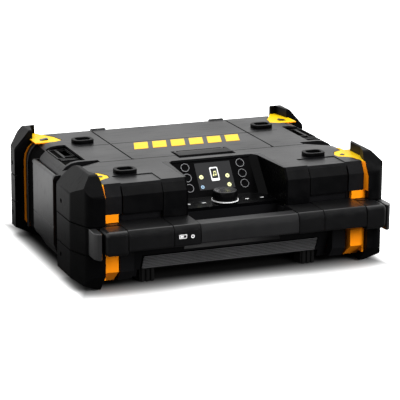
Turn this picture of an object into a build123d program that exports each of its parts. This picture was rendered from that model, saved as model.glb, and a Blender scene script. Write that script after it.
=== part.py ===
"""Jobsite radio: a stackable power-tool-system radio with a bumper bar, a lidded
compartment, a sunken control panel and moulded corner guards. Millimetres.
X is to the right, Y to the back, Z up; the origin is on the ground, under the middle."""
from build123d import *
import math
import os

os.makedirs("parts", exist_ok=True)

# ---------------------------------------------------------------- driving dimensions
DECK_Z = 149.0            # flat top deck
BASE_Z = 8.0              # underside of the tub
SPLIT_Z = 105.0           # parting plane of the two shells
WALL = 3.0                # wall of the moulded shells
HALF_W = 214.0            # half width of the housing between its guards
FRONT_Y = -133.5          # front wall of the housing
REAR_Y = 171.0            # rear wall of the housing
CORNER_CUT = (9.5, 27.5)  # plan chamfer of the front corners, in X and Y
REAR_CUT = (5.0, 5.0)     # plan chamfer of the rear corners
SHOULDER_R = 30.0         # rounding between the sides and the deck
SHOULDER_STEPS = 5        # flats that make up this rounding
PLAN_R = 8.0              # rounding of the housing's upright corners
REAR_R = 5.0              # the same at the rear
EPS = 0.01

POD_FACE_Y = -141.0       # front face of the speaker pods
POD_CREST = (-131.0, DECK_Z)        # (Y, Z) where the pods' bevel meets the deck
POD_BEVEL = (POD_FACE_Y, 133.0)     # (Y, Z) where the bevel meets the face
POD_FOOT_Z = 107.0
POD_X = (75.0, 108.3, 109.3, 166.0)  # inner block from 0 to 1, outer block from 2 to 3
POD_END_X = 191.0         # where the pods' bevel ends beside the guards
SLOT_X = (166.0, 168.0)   # black groove outside each pod

GUARD_GROW = 17.0         # guards stand this far out of the housing
INSERT_GROW = 7.5         # the coloured corner bands lie under the guards
GUARD_FLANK = (17.0, 135.5)         # Z range of the guards' upright faces
EAR_Z = 161.5             # top of the free-standing ears
EAR_IN = 23.0             # how far the guards' upper bevel leans in
GUARD_INNER_X = 194.0     # inner edge of the front guards
GUARD_FRONT_END_Y = -52.0
GUARD_REAR_END_Y = 152.0
GUARD_GROOVES = (55.7, 95.6)        # heights of the grooves that part a guard in three
INSERT_X = (172.6, 194.5)           # the blocks that show beside the bar

NOTCH_X = 73.0            # half width of the control recess
NOTCH_REAR_Y = -43.0
PANEL_TOP = (-43.0, 144.4)          # (Y, Z) of the display panel's upper edge
PANEL_FOOT = (-74.9, 101.2)         # (Y, Z) where the panel meets the ledge
LEDGE_FRONT = (-112.5, 98.2)        # (Y, Z) of the ledge's front edge
HAND_X = 72.0             # half width of the hand gap
HAND_REAR_Y = -112.5      # rear wall of the hand gap
HAND_FLOOR_Z = 44.0
TOE_GAP = (136.0, 18.8, -84.0)        # half width, height and rear of the arch under the front

BAR_FACE_Y = -188.0
BAR_REAR_Y = -162.0
BAR_X = (72.0, 110.0, 174.5, 205.0)  # joints of the bar's covers
BAR_Z = (68.6, 97.5)

LID_X = 107.0             # opening in the deck
LID_Y = (-15.6, REAR_Y)
LID_GAP = 0.7
LID_T = 4.0
HINGE = (173.5, 146.0)    # (Y, Z) of the lid's hinge line
HINGE_R = 5.0
HINGE_PIN_R = 2.0
TAB_X = 40.4
TAB_Y = (-25.5, 6.0)

PEG_XY = ((141.3, -78.6), (141.3, 106.1))
LATCH_Y = (-2.0, 93.0)
LATCH_OUT_X = 220.5
LATCH_PIVOT = (216.8, 129.0)        # (X, Z) of the side latches' hinge line
LATCH_R = 3.7
LATCH_PIN_R = 1.6
CATCH = ((171.0, 216.0), (3.0, 98.0), 143.5)    # pocket in the shoulder: X, Y and its floor

FOOT_XY = ((121.0, -99.0), (121.0, 140.0))
SIDES = (("left", -1), ("right", 1))
PIN_SIDES = 8             # screws, their holes and other small details are drawn as polygons
HINGE_SIDES = 10          # hinge barrels, lugs and their bores; the pins are round
ROUND_SIDES = 16          # small turned parts and their holes likewise


def write(part, label):
    """Name a finished piece and save it."""
    part.label = label
    export_step(part, f"parts/{label}.step")


def mirrored(part):
    """The same piece for the other side of the radio."""
    with BuildPart() as other:
        mirror(part, about=Plane.YZ)
    return other.part


def write_pair(part, label):
    write(part, f"{label}_right")
    write(mirrored(part), f"{label}_left")


def both_sides(part):
    """The piece and its mirror image as one group."""
    with BuildPart() as pair:
        add(part)
        mirror(part, about=Plane.YZ)
    return pair.part


def block(x, y, z):
    """A box given by its X, Y and Z ranges."""
    with BuildPart() as box:
        with Locations(((x[0] + x[1]) / 2, (y[0] + y[1]) / 2, (z[0] + z[1]) / 2)):
            Box(x[1] - x[0], y[1] - y[0], z[1] - z[0])
    return box.part


def side_prism(x, outline, rounding=()):
    """A prism along X over a (Y, Z) outline; rounding lists (corner, radius)."""
    with BuildPart() as prism:
        with BuildSketch(Plane.YZ.offset(x[0])) as section:
            with BuildLine():
                Polyline(*outline, close=True)
            make_face()
            for corner, radius in rounding:
                near = section.vertices().sort_by_distance((*outline[corner], 0))[0]
                fillet(near, radius)
        extrude(amount=x[1] - x[0])
    return prism.part


def rod(plane, at, radius, length, sides=None):
    """A straight rod standing on a plane at a place in it, round unless it is given sides."""
    with BuildPart() as bar:
        with BuildSketch(plane):
            with Locations(at):
                if sides is None:
                    Circle(radius)
                else:
                    RegularPolygon(radius, sides)
        extrude(amount=length)
    return bar.part


def bore_radius(pin_radius, sides):
    """Corner radius of a polygonal bore whose flats just clear a round pin."""
    return pin_radius / math.cos(math.pi / sides)


def turned(plane, rings, sides):
    """A turned piece of polygonal section through rings of (radius, height)."""
    turns = [2 * math.pi * step / sides for step in range(sides)]
    corners = [[plane.from_local_coords((radius * math.cos(turn), radius * math.sin(turn), height))
                for turn in turns] for radius, height in rings]
    outlines = [corners[0], corners[-1]]
    for low, high in zip(corners, corners[1:]):
        outlines += [(low[step - 1], low[step], high[step], high[step - 1])
                     for step in range(sides)]
    return Solid(Shell([Face(Wire.make_polygon(outline)) for outline in outlines]))


# ---------------------------------------------------------------- shared forms
def housing_plan(grow, corner_r):
    """Plan of the housing, an oblong with cut corners, grown outwards."""
    cx, cy = CORNER_CUT
    rx, ry = REAR_CUT
    right = [(HALF_W - cx, FRONT_Y), (HALF_W, FRONT_Y + cy),
             (HALF_W, REAR_Y - ry), (HALF_W - rx, REAR_Y)]
    left = [(-x, y) for x, y in reversed(right)]
    with BuildSketch() as plan:
        with BuildLine():
            Polyline(*right, *left, close=True)
        make_face()
        offset(amount=grow, kind=Kind.INTERSECTION)
        if corner_r > 0:
            fillet(plan.vertices().filter_by(lambda v: v.Y < 0), corner_r)
            fillet(plan.vertices().filter_by(lambda v: v.Y > REAR_Y + grow - 20), REAR_R)
    return plan.sketch


def shouldered(grow, lift, low, corner_r=PLAN_R):
    """The housing's outer form with rounded shoulders, grown outwards: its plan raised
    from low to the deck and trimmed by the cross-section; lift raises the deck."""
    half, top, foot = HALF_W + grow, DECK_Z + lift, BASE_Z - grow
    radius = SHOULDER_R + grow
    turns = [math.radians(90 * step / SHOULDER_STEPS) for step in range(SHOULDER_STEPS + 1)]
    right = [(half - 14, foot), (half, foot + 22)]
    right += [(half + radius * (math.cos(turn) - 1), top + radius * (math.sin(turn) - 1))
              for turn in turns]
    left = [(-x, z) for x, z in reversed(right)]
    with BuildPart() as form:
        with BuildSketch(Plane.XY.offset(low)):
            add(housing_plan(grow, corner_r))
        extrude(amount=top - low)
        with BuildSketch(Plane.XZ.offset(-250)):
            with BuildLine():
                Polyline(*right, *left, close=True)
            make_face()
        extrude(amount=500, mode=Mode.INTERSECT)
    return form.part


def front_bevel(reach, out=0.0):
    """Everything in front of the pods' bevel, as a tool that trims the deck's front edge."""
    (crest_y, crest_z), (low_y, low_z) = POD_CREST, POD_BEVEL
    slope = (crest_y - low_y) / (crest_z - low_z)
    return side_prism((-reach, reach), [
        (crest_y - out + slope * 12, crest_z + 12), (low_y - out - slope * 8, low_z - 8),
        (low_y - 40, low_z - 8), (low_y - 40, crest_z + 12)])


def lower_front(out=0.0):
    """Everything in front of the tub's leaning lower front."""
    return side_prism((-260, 260), [
        (FRONT_Y - out, 66.0), (-112.5 - out, 19.0), (-107.6 - out, 8.0), (-107.6 - out, -10.0),
        (FRONT_Y - 60, -10.0), (FRONT_Y - 60, 66.0)])


def hand_gap(grow):
    """The space that a hand needs behind the bar, grown for the wall around it."""
    half = HAND_X + grow
    rear = HAND_REAR_Y + grow
    floor = HAND_FLOOR_Z - grow
    return side_prism((-half, half), [
        (FRONT_Y - 60, floor), (-125.0 + grow, floor), (rear, floor + 9),
        (rear, 130.0), (FRONT_Y - 60, 130.0)])


def toe_gap(grow):
    """The low arch under the front, grown for the wall around it."""
    half, top, rear = TOE_GAP[0] + grow, TOE_GAP[1] + grow, TOE_GAP[2] + grow
    return side_prism((-half, half), [
        (FRONT_Y - 60, -10), (FRONT_Y - 60, top), (rear - 3, top), (rear, top - 3), (rear, -10)])


def tub_form(inset):
    """The lower tub as a solid, inset by its wall for the hollow inside."""
    with BuildPart() as form:
        add(shouldered(-inset, 0, BASE_Z + inset))
        split(bisect_by=Plane.XY.offset(SPLIT_Z), keep=Keep.BOTTOM)
        add(lower_front(-inset), mode=Mode.SUBTRACT)
        add(hand_gap(inset), mode=Mode.SUBTRACT)
        add(toe_gap(inset), mode=Mode.SUBTRACT)
    return form.part


def deck_form(inset):
    """The upper shell as a solid, inset by its wall for the hollow inside."""
    with BuildPart() as form:
        add(shouldered(-inset, -inset, SPLIT_Z))
        add(front_bevel(260, -inset), mode=Mode.SUBTRACT)
    return form.part


# ---------------------------------------------------------------- lower tub
GRILLE_WINDOWS = ((-128, -78), (78, 128))
GRILLE_Z = (22.5, 39.5)
POST = ((148.0, 168.0), (-134.2, -105.0), 66.0)     # front corner posts: X, Y and top
POST_TOE = (-123.5, 11.0, 25.0)     # Y and Z of the toe, height where its bevel starts
INLET_X, INLET_Z = (-138.0, -112.0), (40.0, 56.0)
ARM_FLOOR_Z = 93.4

with BuildPart() as posts:
    for side in (-1, 1):
        x = sorted((side * POST[0][0], side * POST[0][1]))
        add(side_prism(x, [
            (POST[1][1], POST[2]), (POST[1][0], POST[2]), (POST[1][0], POST_TOE[2]),
            POST_TOE[:2], (POST[1][1], POST_TOE[1])]))

with BuildPart() as lower_shell:
    add(tub_form(0))
    add(posts.part)
    add(tub_form(WALL), mode=Mode.SUBTRACT)
    for x in GRILLE_WINDOWS:
        add(block(x, (-136, -100), GRILLE_Z), mode=Mode.SUBTRACT)
    add(block(INLET_X, (REAR_Y - 5, REAR_Y + 5), INLET_Z), mode=Mode.SUBTRACT)
    add(block((-75, 75), (-150, -60), (ARM_FLOOR_Z, 120)), mode=Mode.SUBTRACT)
    for side in (-1, 1):
        x = sorted((side * SLOT_X[0], side * SLOT_X[1]))
        add(block(x, (FRONT_Y - 1, FRONT_Y + 1.5), (50, 120)), mode=Mode.SUBTRACT)
write(lower_shell.part, "lower_shell")

with BuildPart() as feet:
    for (x, y), top in zip(FOOT_XY, (TOE_GAP[1], BASE_Z)):
        for side in (-1, 1):
            with Locations((side * x, y, top / 2)):
                Box(22, 22, top)
            with Locations([(side * x + 7 * rib, y - 12, top / 2) for rib in (-1, 0, 1)]):
                Box(3.5, 3, top)
write(feet.part, "feet")

# ---------------------------------------------------------------- upper shell
PLATE_Z = DECK_Z - WALL
SCREW_XY = ((181.0, -91.0), (187.0, 142.0))
PAD_Z = 148.6             # top of the coloured pads, let into the deck
PAD_FLOOR_Z = 147.2
PAD_GAP = 0.8
FRONT_PAD = [(170, -88), (177, -73), (191, -66), (208, -64), (208, -100), (196, -131), (191, -131),
             (189, -112), (183, -106), (171.5, -99)]
REAR_PAD = [(166, 129), (178, 122), (207, 124), (207, 166), (199, 184), (190, 184), (176, 160),
            (171, 152)]
RAMP = Plane(origin=(160, -18, DECK_Z), z_dir=(120, 180, 750))    # dip of the deck behind the front ears
LUG_X, LUG_T = (84.0, 102.4), 3.6
STRIKE = ((-43.0, 43.0), (-31.0, -15.0))        # finger scoop in front of the lid
LATCH_LUG_Y = (-6.0, LATCH_Y[1] + 0.4)
LATCH_LUG_T = 3.6
HINGE_BORE_R = bore_radius(HINGE_PIN_R, HINGE_SIDES)
LATCH_BORE_R = bore_radius(LATCH_PIN_R, HINGE_SIDES)
SCREW_R = 1.6


def hinge_rod(radius, x, length, sides=None):
    """A rod on the lid's hinge line."""
    return rod(Plane.YZ.offset(x), HINGE, radius, length, sides)


def latch_rod(radius, y, length, sides=None):
    """A rod on the right side latch's hinge line."""
    start = Plane(origin=(0, y, 0), x_dir=(1, 0, 0), z_dir=(0, 1, 0))
    return rod(start, (LATCH_PIVOT[0], -LATCH_PIVOT[1]), radius, length, sides)


def plan_prism(points, low, high, grow=0.0):
    """A prism along Z over a plan outline, grown outwards."""
    with BuildPart() as prism:
        with BuildSketch(Plane.XY.offset(low)):
            with BuildLine():
                Polyline(*points, close=True)
            make_face()
            if grow > 0:
                offset(amount=grow, kind=Kind.INTERSECTION)
        extrude(amount=high - low)
    return prism.part


def ramp_block(depth):
    """The dip between an ear and the middle of the deck, lowered by depth."""
    with BuildPart() as dip:
        add(block((155, 235), (-58, -3 + depth), (110, 160)))
        split(bisect_by=RAMP.offset(-depth), keep=Keep.TOP)
    return dip.part


with BuildPart() as outer_deck:
    add(deck_form(0))
    for outline in (FRONT_PAD, REAR_PAD):
        add(both_sides(plan_prism(outline, PAD_FLOOR_Z, 160, PAD_GAP)), mode=Mode.SUBTRACT)
    add(both_sides(ramp_block(0)), mode=Mode.SUBTRACT)

with BuildPart() as deck_hollow:
    add(deck_form(WALL))
    add(both_sides(ramp_block(WALL)), mode=Mode.SUBTRACT)

with BuildPart() as latch_lugs:
    for y in LATCH_LUG_Y:
        add(latch_rod(LATCH_R, y, LATCH_LUG_T, HINGE_SIDES))
        add(block((206, LATCH_PIVOT[0]), (y, y + LATCH_LUG_T),
                  (LATCH_PIVOT[1] - LATCH_R, LATCH_PIVOT[1] + LATCH_R)))
    add(deck_form(WALL), mode=Mode.SUBTRACT)

with BuildPart() as top_shell:
    add(outer_deck.part)
    for side in (-1, 1):
        x = sorted((side * SLOT_X[1], side * POD_END_X))
        add(side_prism(x, [(FRONT_Y, 109), (POD_FACE_Y, 109), POD_BEVEL, POD_CREST,
                           (FRONT_Y + 10, DECK_Z), (FRONT_Y + 10, 109)]))
    add(deck_hollow.part, mode=Mode.SUBTRACT)
    add(block((-75, 75), (-160, NOTCH_REAR_Y), (90, 160)), mode=Mode.SUBTRACT)
    add(block((-LID_X, LID_X), (LID_Y[0], LID_Y[1] + 9), (138, 160)), mode=Mode.SUBTRACT)
    add(block(*STRIKE, (138, 160)), mode=Mode.SUBTRACT)
    for y in (-15.6, 80.7):
        add(block((-156, 156), (y - 0.8, y + 0.8), (DECK_Z - 1.2, 160)), mode=Mode.SUBTRACT)
    for side in (-1, 1):
        x = sorted((side * 108.0, side * SLOT_X[0]))
        add(block(x, (-140, -94), (DECK_Z - 1, 160)), mode=Mode.SUBTRACT)
        x = sorted((side * CATCH[0][0], side * CATCH[0][1]))
        add(block(x, CATCH[1], (138, 160)), mode=Mode.SUBTRACT)
        for x, y in SCREW_XY:
            add(rod(Plane.XY.offset(120), (side * x, y), SCREW_R, 40, PIN_SIDES),
                mode=Mode.SUBTRACT)
        for x0 in LUG_X:
            x = min(side * x0, side * (x0 + LUG_T))
            add(block((x, x + LUG_T), (REAR_Y - WALL, HINGE[0] + 2), (130, HINGE[1])))
            add(hinge_rod(HINGE_R, x, LUG_T, HINGE_SIDES))
    add(hinge_rod(HINGE_BORE_R, -110, 220, HINGE_SIDES), mode=Mode.SUBTRACT)
    add(both_sides(latch_lugs.part))
    add(both_sides(latch_rod(LATCH_BORE_R, -10, 120, HINGE_SIDES)), mode=Mode.SUBTRACT)
write(top_shell.part, "top_shell")

with BuildPart() as lid_hinge_pins:
    add(hinge_rod(HINGE_PIN_R, LUG_X[0], LUG_X[1] + LUG_T - LUG_X[0]))
write(both_sides(lid_hinge_pins.part), "lid_hinge_pins")

with BuildPart() as latch_hinge_pins:
    add(latch_rod(LATCH_PIN_R, LATCH_LUG_Y[0], LATCH_LUG_Y[1] + LATCH_LUG_T - LATCH_LUG_Y[0]))
write(both_sides(latch_hinge_pins.part), "latch_hinge_pins")

# ---------------------------------------------------------------- catches for a unit on top
with BuildPart() as side_catch:
    add(block((CATCH[0][0] + EPS, CATCH[0][1]), (CATCH[1][0] + EPS, CATCH[1][1] - EPS),
              (138, CATCH[2])))
    add(shouldered(0, 0, SPLIT_Z), mode=Mode.INTERSECT)
    add(block((174.5, 185.0), (53.0, 86.0), (130, 150)), mode=Mode.SUBTRACT)
    for y in (12.0, 20.0, 92.0):
        add(block((173.0, 200.0), (y, y + 3.0), (142.3, 150)), mode=Mode.SUBTRACT)
    add(block((190.0, 198.0), (40.0, 88.0), (140.5, 150)), mode=Mode.SUBTRACT)
write_pair(side_catch.part, "side_catch")

# ---------------------------------------------------------------- stacking pegs
with BuildPart() as stacking_pegs:
    for side in (-1, 1):
        for x, y in PEG_XY:
            with BuildSketch(Plane.XY.offset(DECK_Z)) as peg:
                with Locations((side * x, y)):
                    Rectangle(31, 25)
                chamfer(peg.vertices(), 6)
            extrude(amount=5.2)
            with BuildSketch(Plane.XY.offset(DECK_Z)) as peg_hollow:
                with Locations((side * x, y)):
                    Rectangle(22, 16)
                chamfer(peg_hollow.vertices(), 4.5)
            extrude(amount=5.2, mode=Mode.SUBTRACT)
write(stacking_pegs.part, "stacking_pegs")

# ---------------------------------------------------------------- control housing
RECESS_TOP = 160.0
panel_rise = math.hypot(PANEL_TOP[0] - PANEL_FOOT[0], PANEL_TOP[1] - PANEL_FOOT[1])
panel_y = (PANEL_TOP[0] + PANEL_FOOT[0]) / 2
panel_z = (PANEL_TOP[1] + PANEL_FOOT[1]) / 2
panel_up = ((PANEL_TOP[0] - PANEL_FOOT[0]) / panel_rise, (PANEL_TOP[1] - PANEL_FOOT[1]) / panel_rise)
ledge_run = math.hypot(PANEL_FOOT[0] - LEDGE_FRONT[0], PANEL_FOOT[1] - LEDGE_FRONT[1])
ledge_back = ((PANEL_FOOT[0] - LEDGE_FRONT[0]) / ledge_run, (PANEL_FOOT[1] - LEDGE_FRONT[1]) / ledge_run)
# drawing planes on the display panel and on the ledge, their normals facing out
PANEL = Plane(origin=(0, panel_y, panel_z), x_dir=(1, 0, 0),
              z_dir=(0, -panel_up[1], panel_up[0]))
LEDGE = Plane(origin=(0, (PANEL_FOOT[0] + LEDGE_FRONT[0]) / 2, (PANEL_FOOT[1] + LEDGE_FRONT[1]) / 2),
              x_dir=(1, 0, 0), z_dir=(0, -ledge_back[1], ledge_back[0]))

DISPLAY = (53.5, 41.0)
DISPLAY_V = 4.0                     # display centre above the panel's middle
BUTTON_U, BUTTON_V = 41.6, (19.4, 3.7, -12.0)
BUTTON_R, BUTTON_HOLE_R, BUTTON_FLANGE_R = 6.7, 6.9, 7.6
KEY_U, KEY_V = (32.3, 55.0), -1.8
KEY_SIZE = (15.0, 15.0)
KEY_GAP = 0.3
KEY_CORNER = 1.6
KNOB_V = -1.5
KNOB_RISE = 2.2                     # the knob stands upright on a collar this high
KNOB_R, KNOB_RING_R, SHAFT_R = 17.4, 18.6, 3.0
KNOB_TOP_R, KNOB_H = 16.4, 13.4
KNOB_SIDES = 32

# the knob's own plane is level: it is the top of its collar
KNOB_PLANE = Plane(LEDGE.from_local_coords((0, KNOB_V, 0)) + Vector(0, 0, KNOB_RISE))

with BuildPart() as recess:
    with BuildSketch(Plane.YZ.offset(-90)):
        with BuildLine():
            Polyline((NOTCH_REAR_Y, RECESS_TOP), PANEL_TOP, PANEL_FOOT, LEDGE_FRONT,
                     (LEDGE_FRONT[0], 80), (-200, 80), (-200, RECESS_TOP), close=True)
        make_face()
    extrude(amount=180)
    with BuildSketch(Plane.XY.offset(70)):
        with BuildLine():
            Polyline((-66, -30), (-66, NOTCH_REAR_Y), (-NOTCH_X, POD_FACE_Y), (-NOTCH_X, -210),
                     (NOTCH_X, -210), (NOTCH_X, POD_FACE_Y), (66, NOTCH_REAR_Y), (66, -30),
                     close=True)
        make_face()
    extrude(amount=100, mode=Mode.INTERSECT)
    for side in (-1, 1):
        chamfer(recess.edges().sort_by_distance((side * 66.8, panel_y, panel_z))[0], 9)

with BuildPart() as control_housing:
    add(side_prism((-75, 75), [
        (NOTCH_REAR_Y, DECK_Z), POD_CREST, POD_BEVEL, (POD_FACE_Y, BAR_Z[1]),
        (FRONT_Y, BAR_Z[1]), (FRONT_Y, ARM_FLOOR_Z), (LEDGE_FRONT[0] + WALL, ARM_FLOOR_Z),
        (LEDGE_FRONT[0] + 5.5, 96.0),
        (-77.2, 97.9), (-72.4, 99.4), (-40.6, 142.6), (-40.6, PLATE_Z), (NOTCH_REAR_Y, PLATE_Z)]))
    add(recess.part, mode=Mode.SUBTRACT)
    with BuildSketch(PANEL.offset(-20)):
        with Locations((0, DISPLAY_V)):
            Rectangle(*DISPLAY)
        with Locations([(side * BUTTON_U, v) for side in (-1, 1) for v in BUTTON_V]):
            RegularPolygon(BUTTON_HOLE_R, ROUND_SIDES)
    extrude(amount=22, mode=Mode.SUBTRACT)
    with BuildSketch(LEDGE.offset(-10)) as key_holes:
        with Locations([(side * u, KEY_V) for side in (-1, 1) for u in KEY_U]):
            Rectangle(KEY_SIZE[0] + 2 * KEY_GAP, KEY_SIZE[1] + 2 * KEY_GAP)
        chamfer(key_holes.vertices(), KEY_CORNER)
    extrude(amount=12, mode=Mode.SUBTRACT)
    add(rod(KNOB_PLANE.offset(-20), (0, 0), SHAFT_R + 0.5, 30, PIN_SIDES), mode=Mode.SUBTRACT)
write(control_housing.part, "control_housing")

with BuildPart() as display_lens:
    with BuildSketch(PANEL.offset(-1.8)):
        with Locations((0, DISPLAY_V)):
            Rectangle(*DISPLAY)
    extrude(amount=1.8)
write(display_lens.part, "display_lens")

with BuildPart() as lcd_module:
    with BuildSketch(PANEL.offset(-6.0)):
        with Locations((0, DISPLAY_V)):
            Rectangle(DISPLAY[0] - 1, DISPLAY[1] - 1)
    extrude(amount=4.2)
write(lcd_module.part, "lcd_module")

with BuildPart() as control_boards:
    with BuildSketch(PANEL.offset(-8.6)):
        with Locations((0, 2)):
            Rectangle(104, 46)
    extrude(amount=1.6)
    with BuildSketch(PANEL.offset(-7)):
        with Locations([(side * BUTTON_U, v) for side in (-1, 1) for v in BUTTON_V]):
            Rectangle(5, 5)
    extrude(amount=1.2)
    with BuildSketch(LEDGE.offset(-8.6)):
        with Locations((0, KEY_V)):
            Rectangle(132, 18)
        with Locations((0, KNOB_V)):
            Rectangle(13.4, 13.6, mode=Mode.SUBTRACT)
    extrude(amount=1.6)
    with BuildSketch(LEDGE.offset(-7)):
        with Locations([(side * u, KEY_V) for side in (-1, 1) for u in KEY_U]):
            Rectangle(5, 5)
    extrude(amount=1.2)
write(control_boards.part, "control_boards")

for side_name, side in SIDES:
    for row, v in enumerate(BUTTON_V, start=1):
        with BuildPart() as button:
            add(rod(PANEL.offset(-4.2), (side * BUTTON_U, v), BUTTON_R, 5.2, ROUND_SIDES))
            chamfer(button.faces().sort_by(Axis(PANEL.origin, PANEL.z_dir))[-1].edges(), 0.3)
            add(rod(PANEL.offset(-4.2), (side * BUTTON_U, v), BUTTON_FLANGE_R, 0.9, PIN_SIDES))
        write(button.part, f"button_{side_name}_{row}")

for side_name, side in SIDES:
    for place, u in zip(("inner", "outer"), KEY_U):
        with BuildPart() as key:
            with BuildSketch(LEDGE.offset(-3.8)) as key_cap:
                with Locations((side * u, KEY_V)):
                    Rectangle(*KEY_SIZE)
                chamfer(key_cap.vertices(), KEY_CORNER)
            extrude(amount=4.1)
            with BuildSketch(LEDGE.offset(-4.6)):
                with Locations((side * u, KEY_V)):
                    Rectangle(KEY_SIZE[0] + 2.4, KEY_SIZE[1] + 2.4)
            extrude(amount=0.9)
        write(key.part, f"key_{side_name}_{place}")

with BuildPart() as knob_ring:
    add(rod(KNOB_PLANE.offset(-6), (0, 0), KNOB_RING_R, 6, KNOB_SIDES))
    add(rod(KNOB_PLANE.offset(-7), (0, 0), KNOB_RING_R - 4.0, 8, KNOB_SIDES), mode=Mode.SUBTRACT)
    add(control_housing.part, mode=Mode.SUBTRACT)
    split(bisect_by=LEDGE, keep=Keep.TOP)
write(knob_ring.part, "knob_ring")

with BuildPart() as knob:
    add(rod(KNOB_PLANE.offset(-11), (0, 0), SHAFT_R, 12))
    add(turned(KNOB_PLANE, [(KNOB_R, 0.3), (KNOB_R, KNOB_H - 5), (KNOB_TOP_R, KNOB_H - 1),
                            (KNOB_TOP_R - 1.6, KNOB_H)], KNOB_SIDES))
write(knob.part, "knob")

with BuildPart() as rotary_encoder:
    with BuildSketch(KNOB_PLANE.offset(-14.5)):
        Rectangle(13, 12)
    extrude(amount=9)
    add(rod(KNOB_PLANE.offset(-12), (0, 0), bore_radius(SHAFT_R + 0.2, PIN_SIDES), 12, PIN_SIDES),
        mode=Mode.SUBTRACT)
write(rotary_encoder.part, "rotary_encoder")

# ---------------------------------------------------------------- speaker pods
crest_slope = (POD_CREST[1] - POD_BEVEL[1]) / (POD_CREST[0] - POD_BEVEL[0])
POD_TOP_Z = POD_BEVEL[1] + crest_slope * (FRONT_Y - POD_BEVEL[0])   # bevel height at the wall
with BuildPart() as pod_inner_cover:
    add(side_prism((POD_X[0], POD_X[1]), [
        (FRONT_Y, 98), (POD_FACE_Y, 98), POD_BEVEL, (FRONT_Y, POD_TOP_Z)]))
write_pair(pod_inner_cover.part, "pod_inner_cover")

with BuildPart() as pod_outer_cover:
    add(side_prism((POD_X[2], POD_X[3]), [
        (FRONT_Y, POD_FOOT_Z), (POD_FACE_Y + 1.2, POD_FOOT_Z), (POD_FACE_Y, POD_FOOT_Z + 1.2),
        POD_BEVEL, (FRONT_Y, POD_TOP_Z)]))
write_pair(pod_outer_cover.part, "pod_outer_cover")

# ---------------------------------------------------------------- bumper bar
CORE_Z = (76.0, 90.0)
CORE_Y = (-182.0, -168.0)
ARM_X = (80.0, 168.0)
BAR_SEAM = 0.5            # half of the joint between two covers


def bar_core():
    """The structural tube inside the bar and its arms to the housing."""
    with BuildPart() as core:
        add(block((-200, 200), CORE_Y, CORE_Z))
        for side in (-1, 1):
            x = sorted((side * ARM_X[0], side * ARM_X[1]))
            add(block(x, (CORE_Y[1], FRONT_Y), CORE_Z))
    return core.part


def bar_section(rear_y, low_z, top_z):
    """Outline of a bar cover in (Y, Z), its front top edge rolled back."""
    return [(rear_y, low_z), (BAR_FACE_Y + 2, low_z), (BAR_FACE_Y, low_z + 2),
            (BAR_FACE_Y, top_z - 12), (BAR_FACE_Y + 2, top_z - 5), (BAR_FACE_Y + 6, top_z),
            (rear_y, top_z)]


write(bar_core(), "bumper_beam")

with BuildPart() as bar_grip:
    add(side_prism((-BAR_X[0] + BAR_SEAM, BAR_X[0] - BAR_SEAM),
                   bar_section(BAR_REAR_Y, BAR_Z[0] + 1, BAR_Z[1] - 0.6)))
    fillet(bar_grip.edges().filter_by(Axis.X).group_by(Axis.Y)[-1], 4)
    add(bar_core(), mode=Mode.SUBTRACT)
write(bar_grip.part, "bar_grip")

for label, x in (("bar_cover_inner", BAR_X[0:2]), ("bar_cover_outer", BAR_X[1:3])):
    with BuildPart() as bar_cover:
        add(side_prism((x[0] + BAR_SEAM, x[1] - BAR_SEAM),
                       bar_section(FRONT_Y, *BAR_Z)))
        add(bar_core(), mode=Mode.SUBTRACT)
    write_pair(bar_cover.part, label)

with BuildPart() as bar_end:
    add(side_prism((BAR_X[2] + BAR_SEAM, BAR_X[3]), bar_section(-150.8, BAR_Z[0] - 5, BAR_Z[1])))
    add(block((BAR_X[2] + BAR_SEAM, 194.0), (-150.8, POD_FACE_Y), (66, 97)))
    add(bar_core(), mode=Mode.SUBTRACT)
write_pair(bar_end.part, "bar_end")

# ---------------------------------------------------------------- corner guards
GUARD_BASE_Z = 2.0
GUARD_R = 16.0            # rounding of the front guards' upright corners
GUARD_FOOT_IN = 31.0      # how far the guards' lower bevel runs in under the side
EAR_R, EAR_END_R, BEVEL_R = 4.0, 18.0, 9.0      # roundings of the ears' top and rear end
BAND_FOOT_Z = 18.0
BAND_LIP = 2.6            # thickness of the band where it shows at a rear guard's front end
GUARD_SCREWS = (((-72.0, 115.0), (-68.5, 39.0)), ((163.0, 113.0), (166.0, 37.0)))
GUARD_SCREW_HEAD_R, GUARD_SCREW_SINK = 3.4, 4.0
GUARD_OUT = HALF_W + GUARD_GROW
GUARD_FACE_Y = FRONT_Y - GUARD_GROW
GUARD_BACK_Y = REAR_Y + GUARD_GROW
GUARD_LOW, GUARD_HIGH = GUARD_FLANK

# the guards' side profiles in (Y, Z) with the corners that are rounded
FRONT_PROFILE = [(GUARD_FRONT_END_Y, GUARD_BASE_Z), (GUARD_FRONT_END_Y, EAR_Z),
                 (GUARD_FACE_Y + 26, EAR_Z), (GUARD_FACE_Y, GUARD_HIGH), (GUARD_FACE_Y, 26),
                 (GUARD_FACE_Y + 22, GUARD_BASE_Z)]
FRONT_ROUNDING = ((1, EAR_END_R), (2, BEVEL_R), (3, BEVEL_R))
REAR_PROFILE = [(GUARD_REAR_END_Y, GUARD_BASE_Z), (GUARD_REAR_END_Y, EAR_Z),
                (GUARD_BACK_Y, EAR_Z), (GUARD_BACK_Y, GUARD_LOW), (GUARD_BACK_Y - 16, GUARD_BASE_Z)]
REAR_ROUNDING = ((1, EAR_R), (2, EAR_R))


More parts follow.
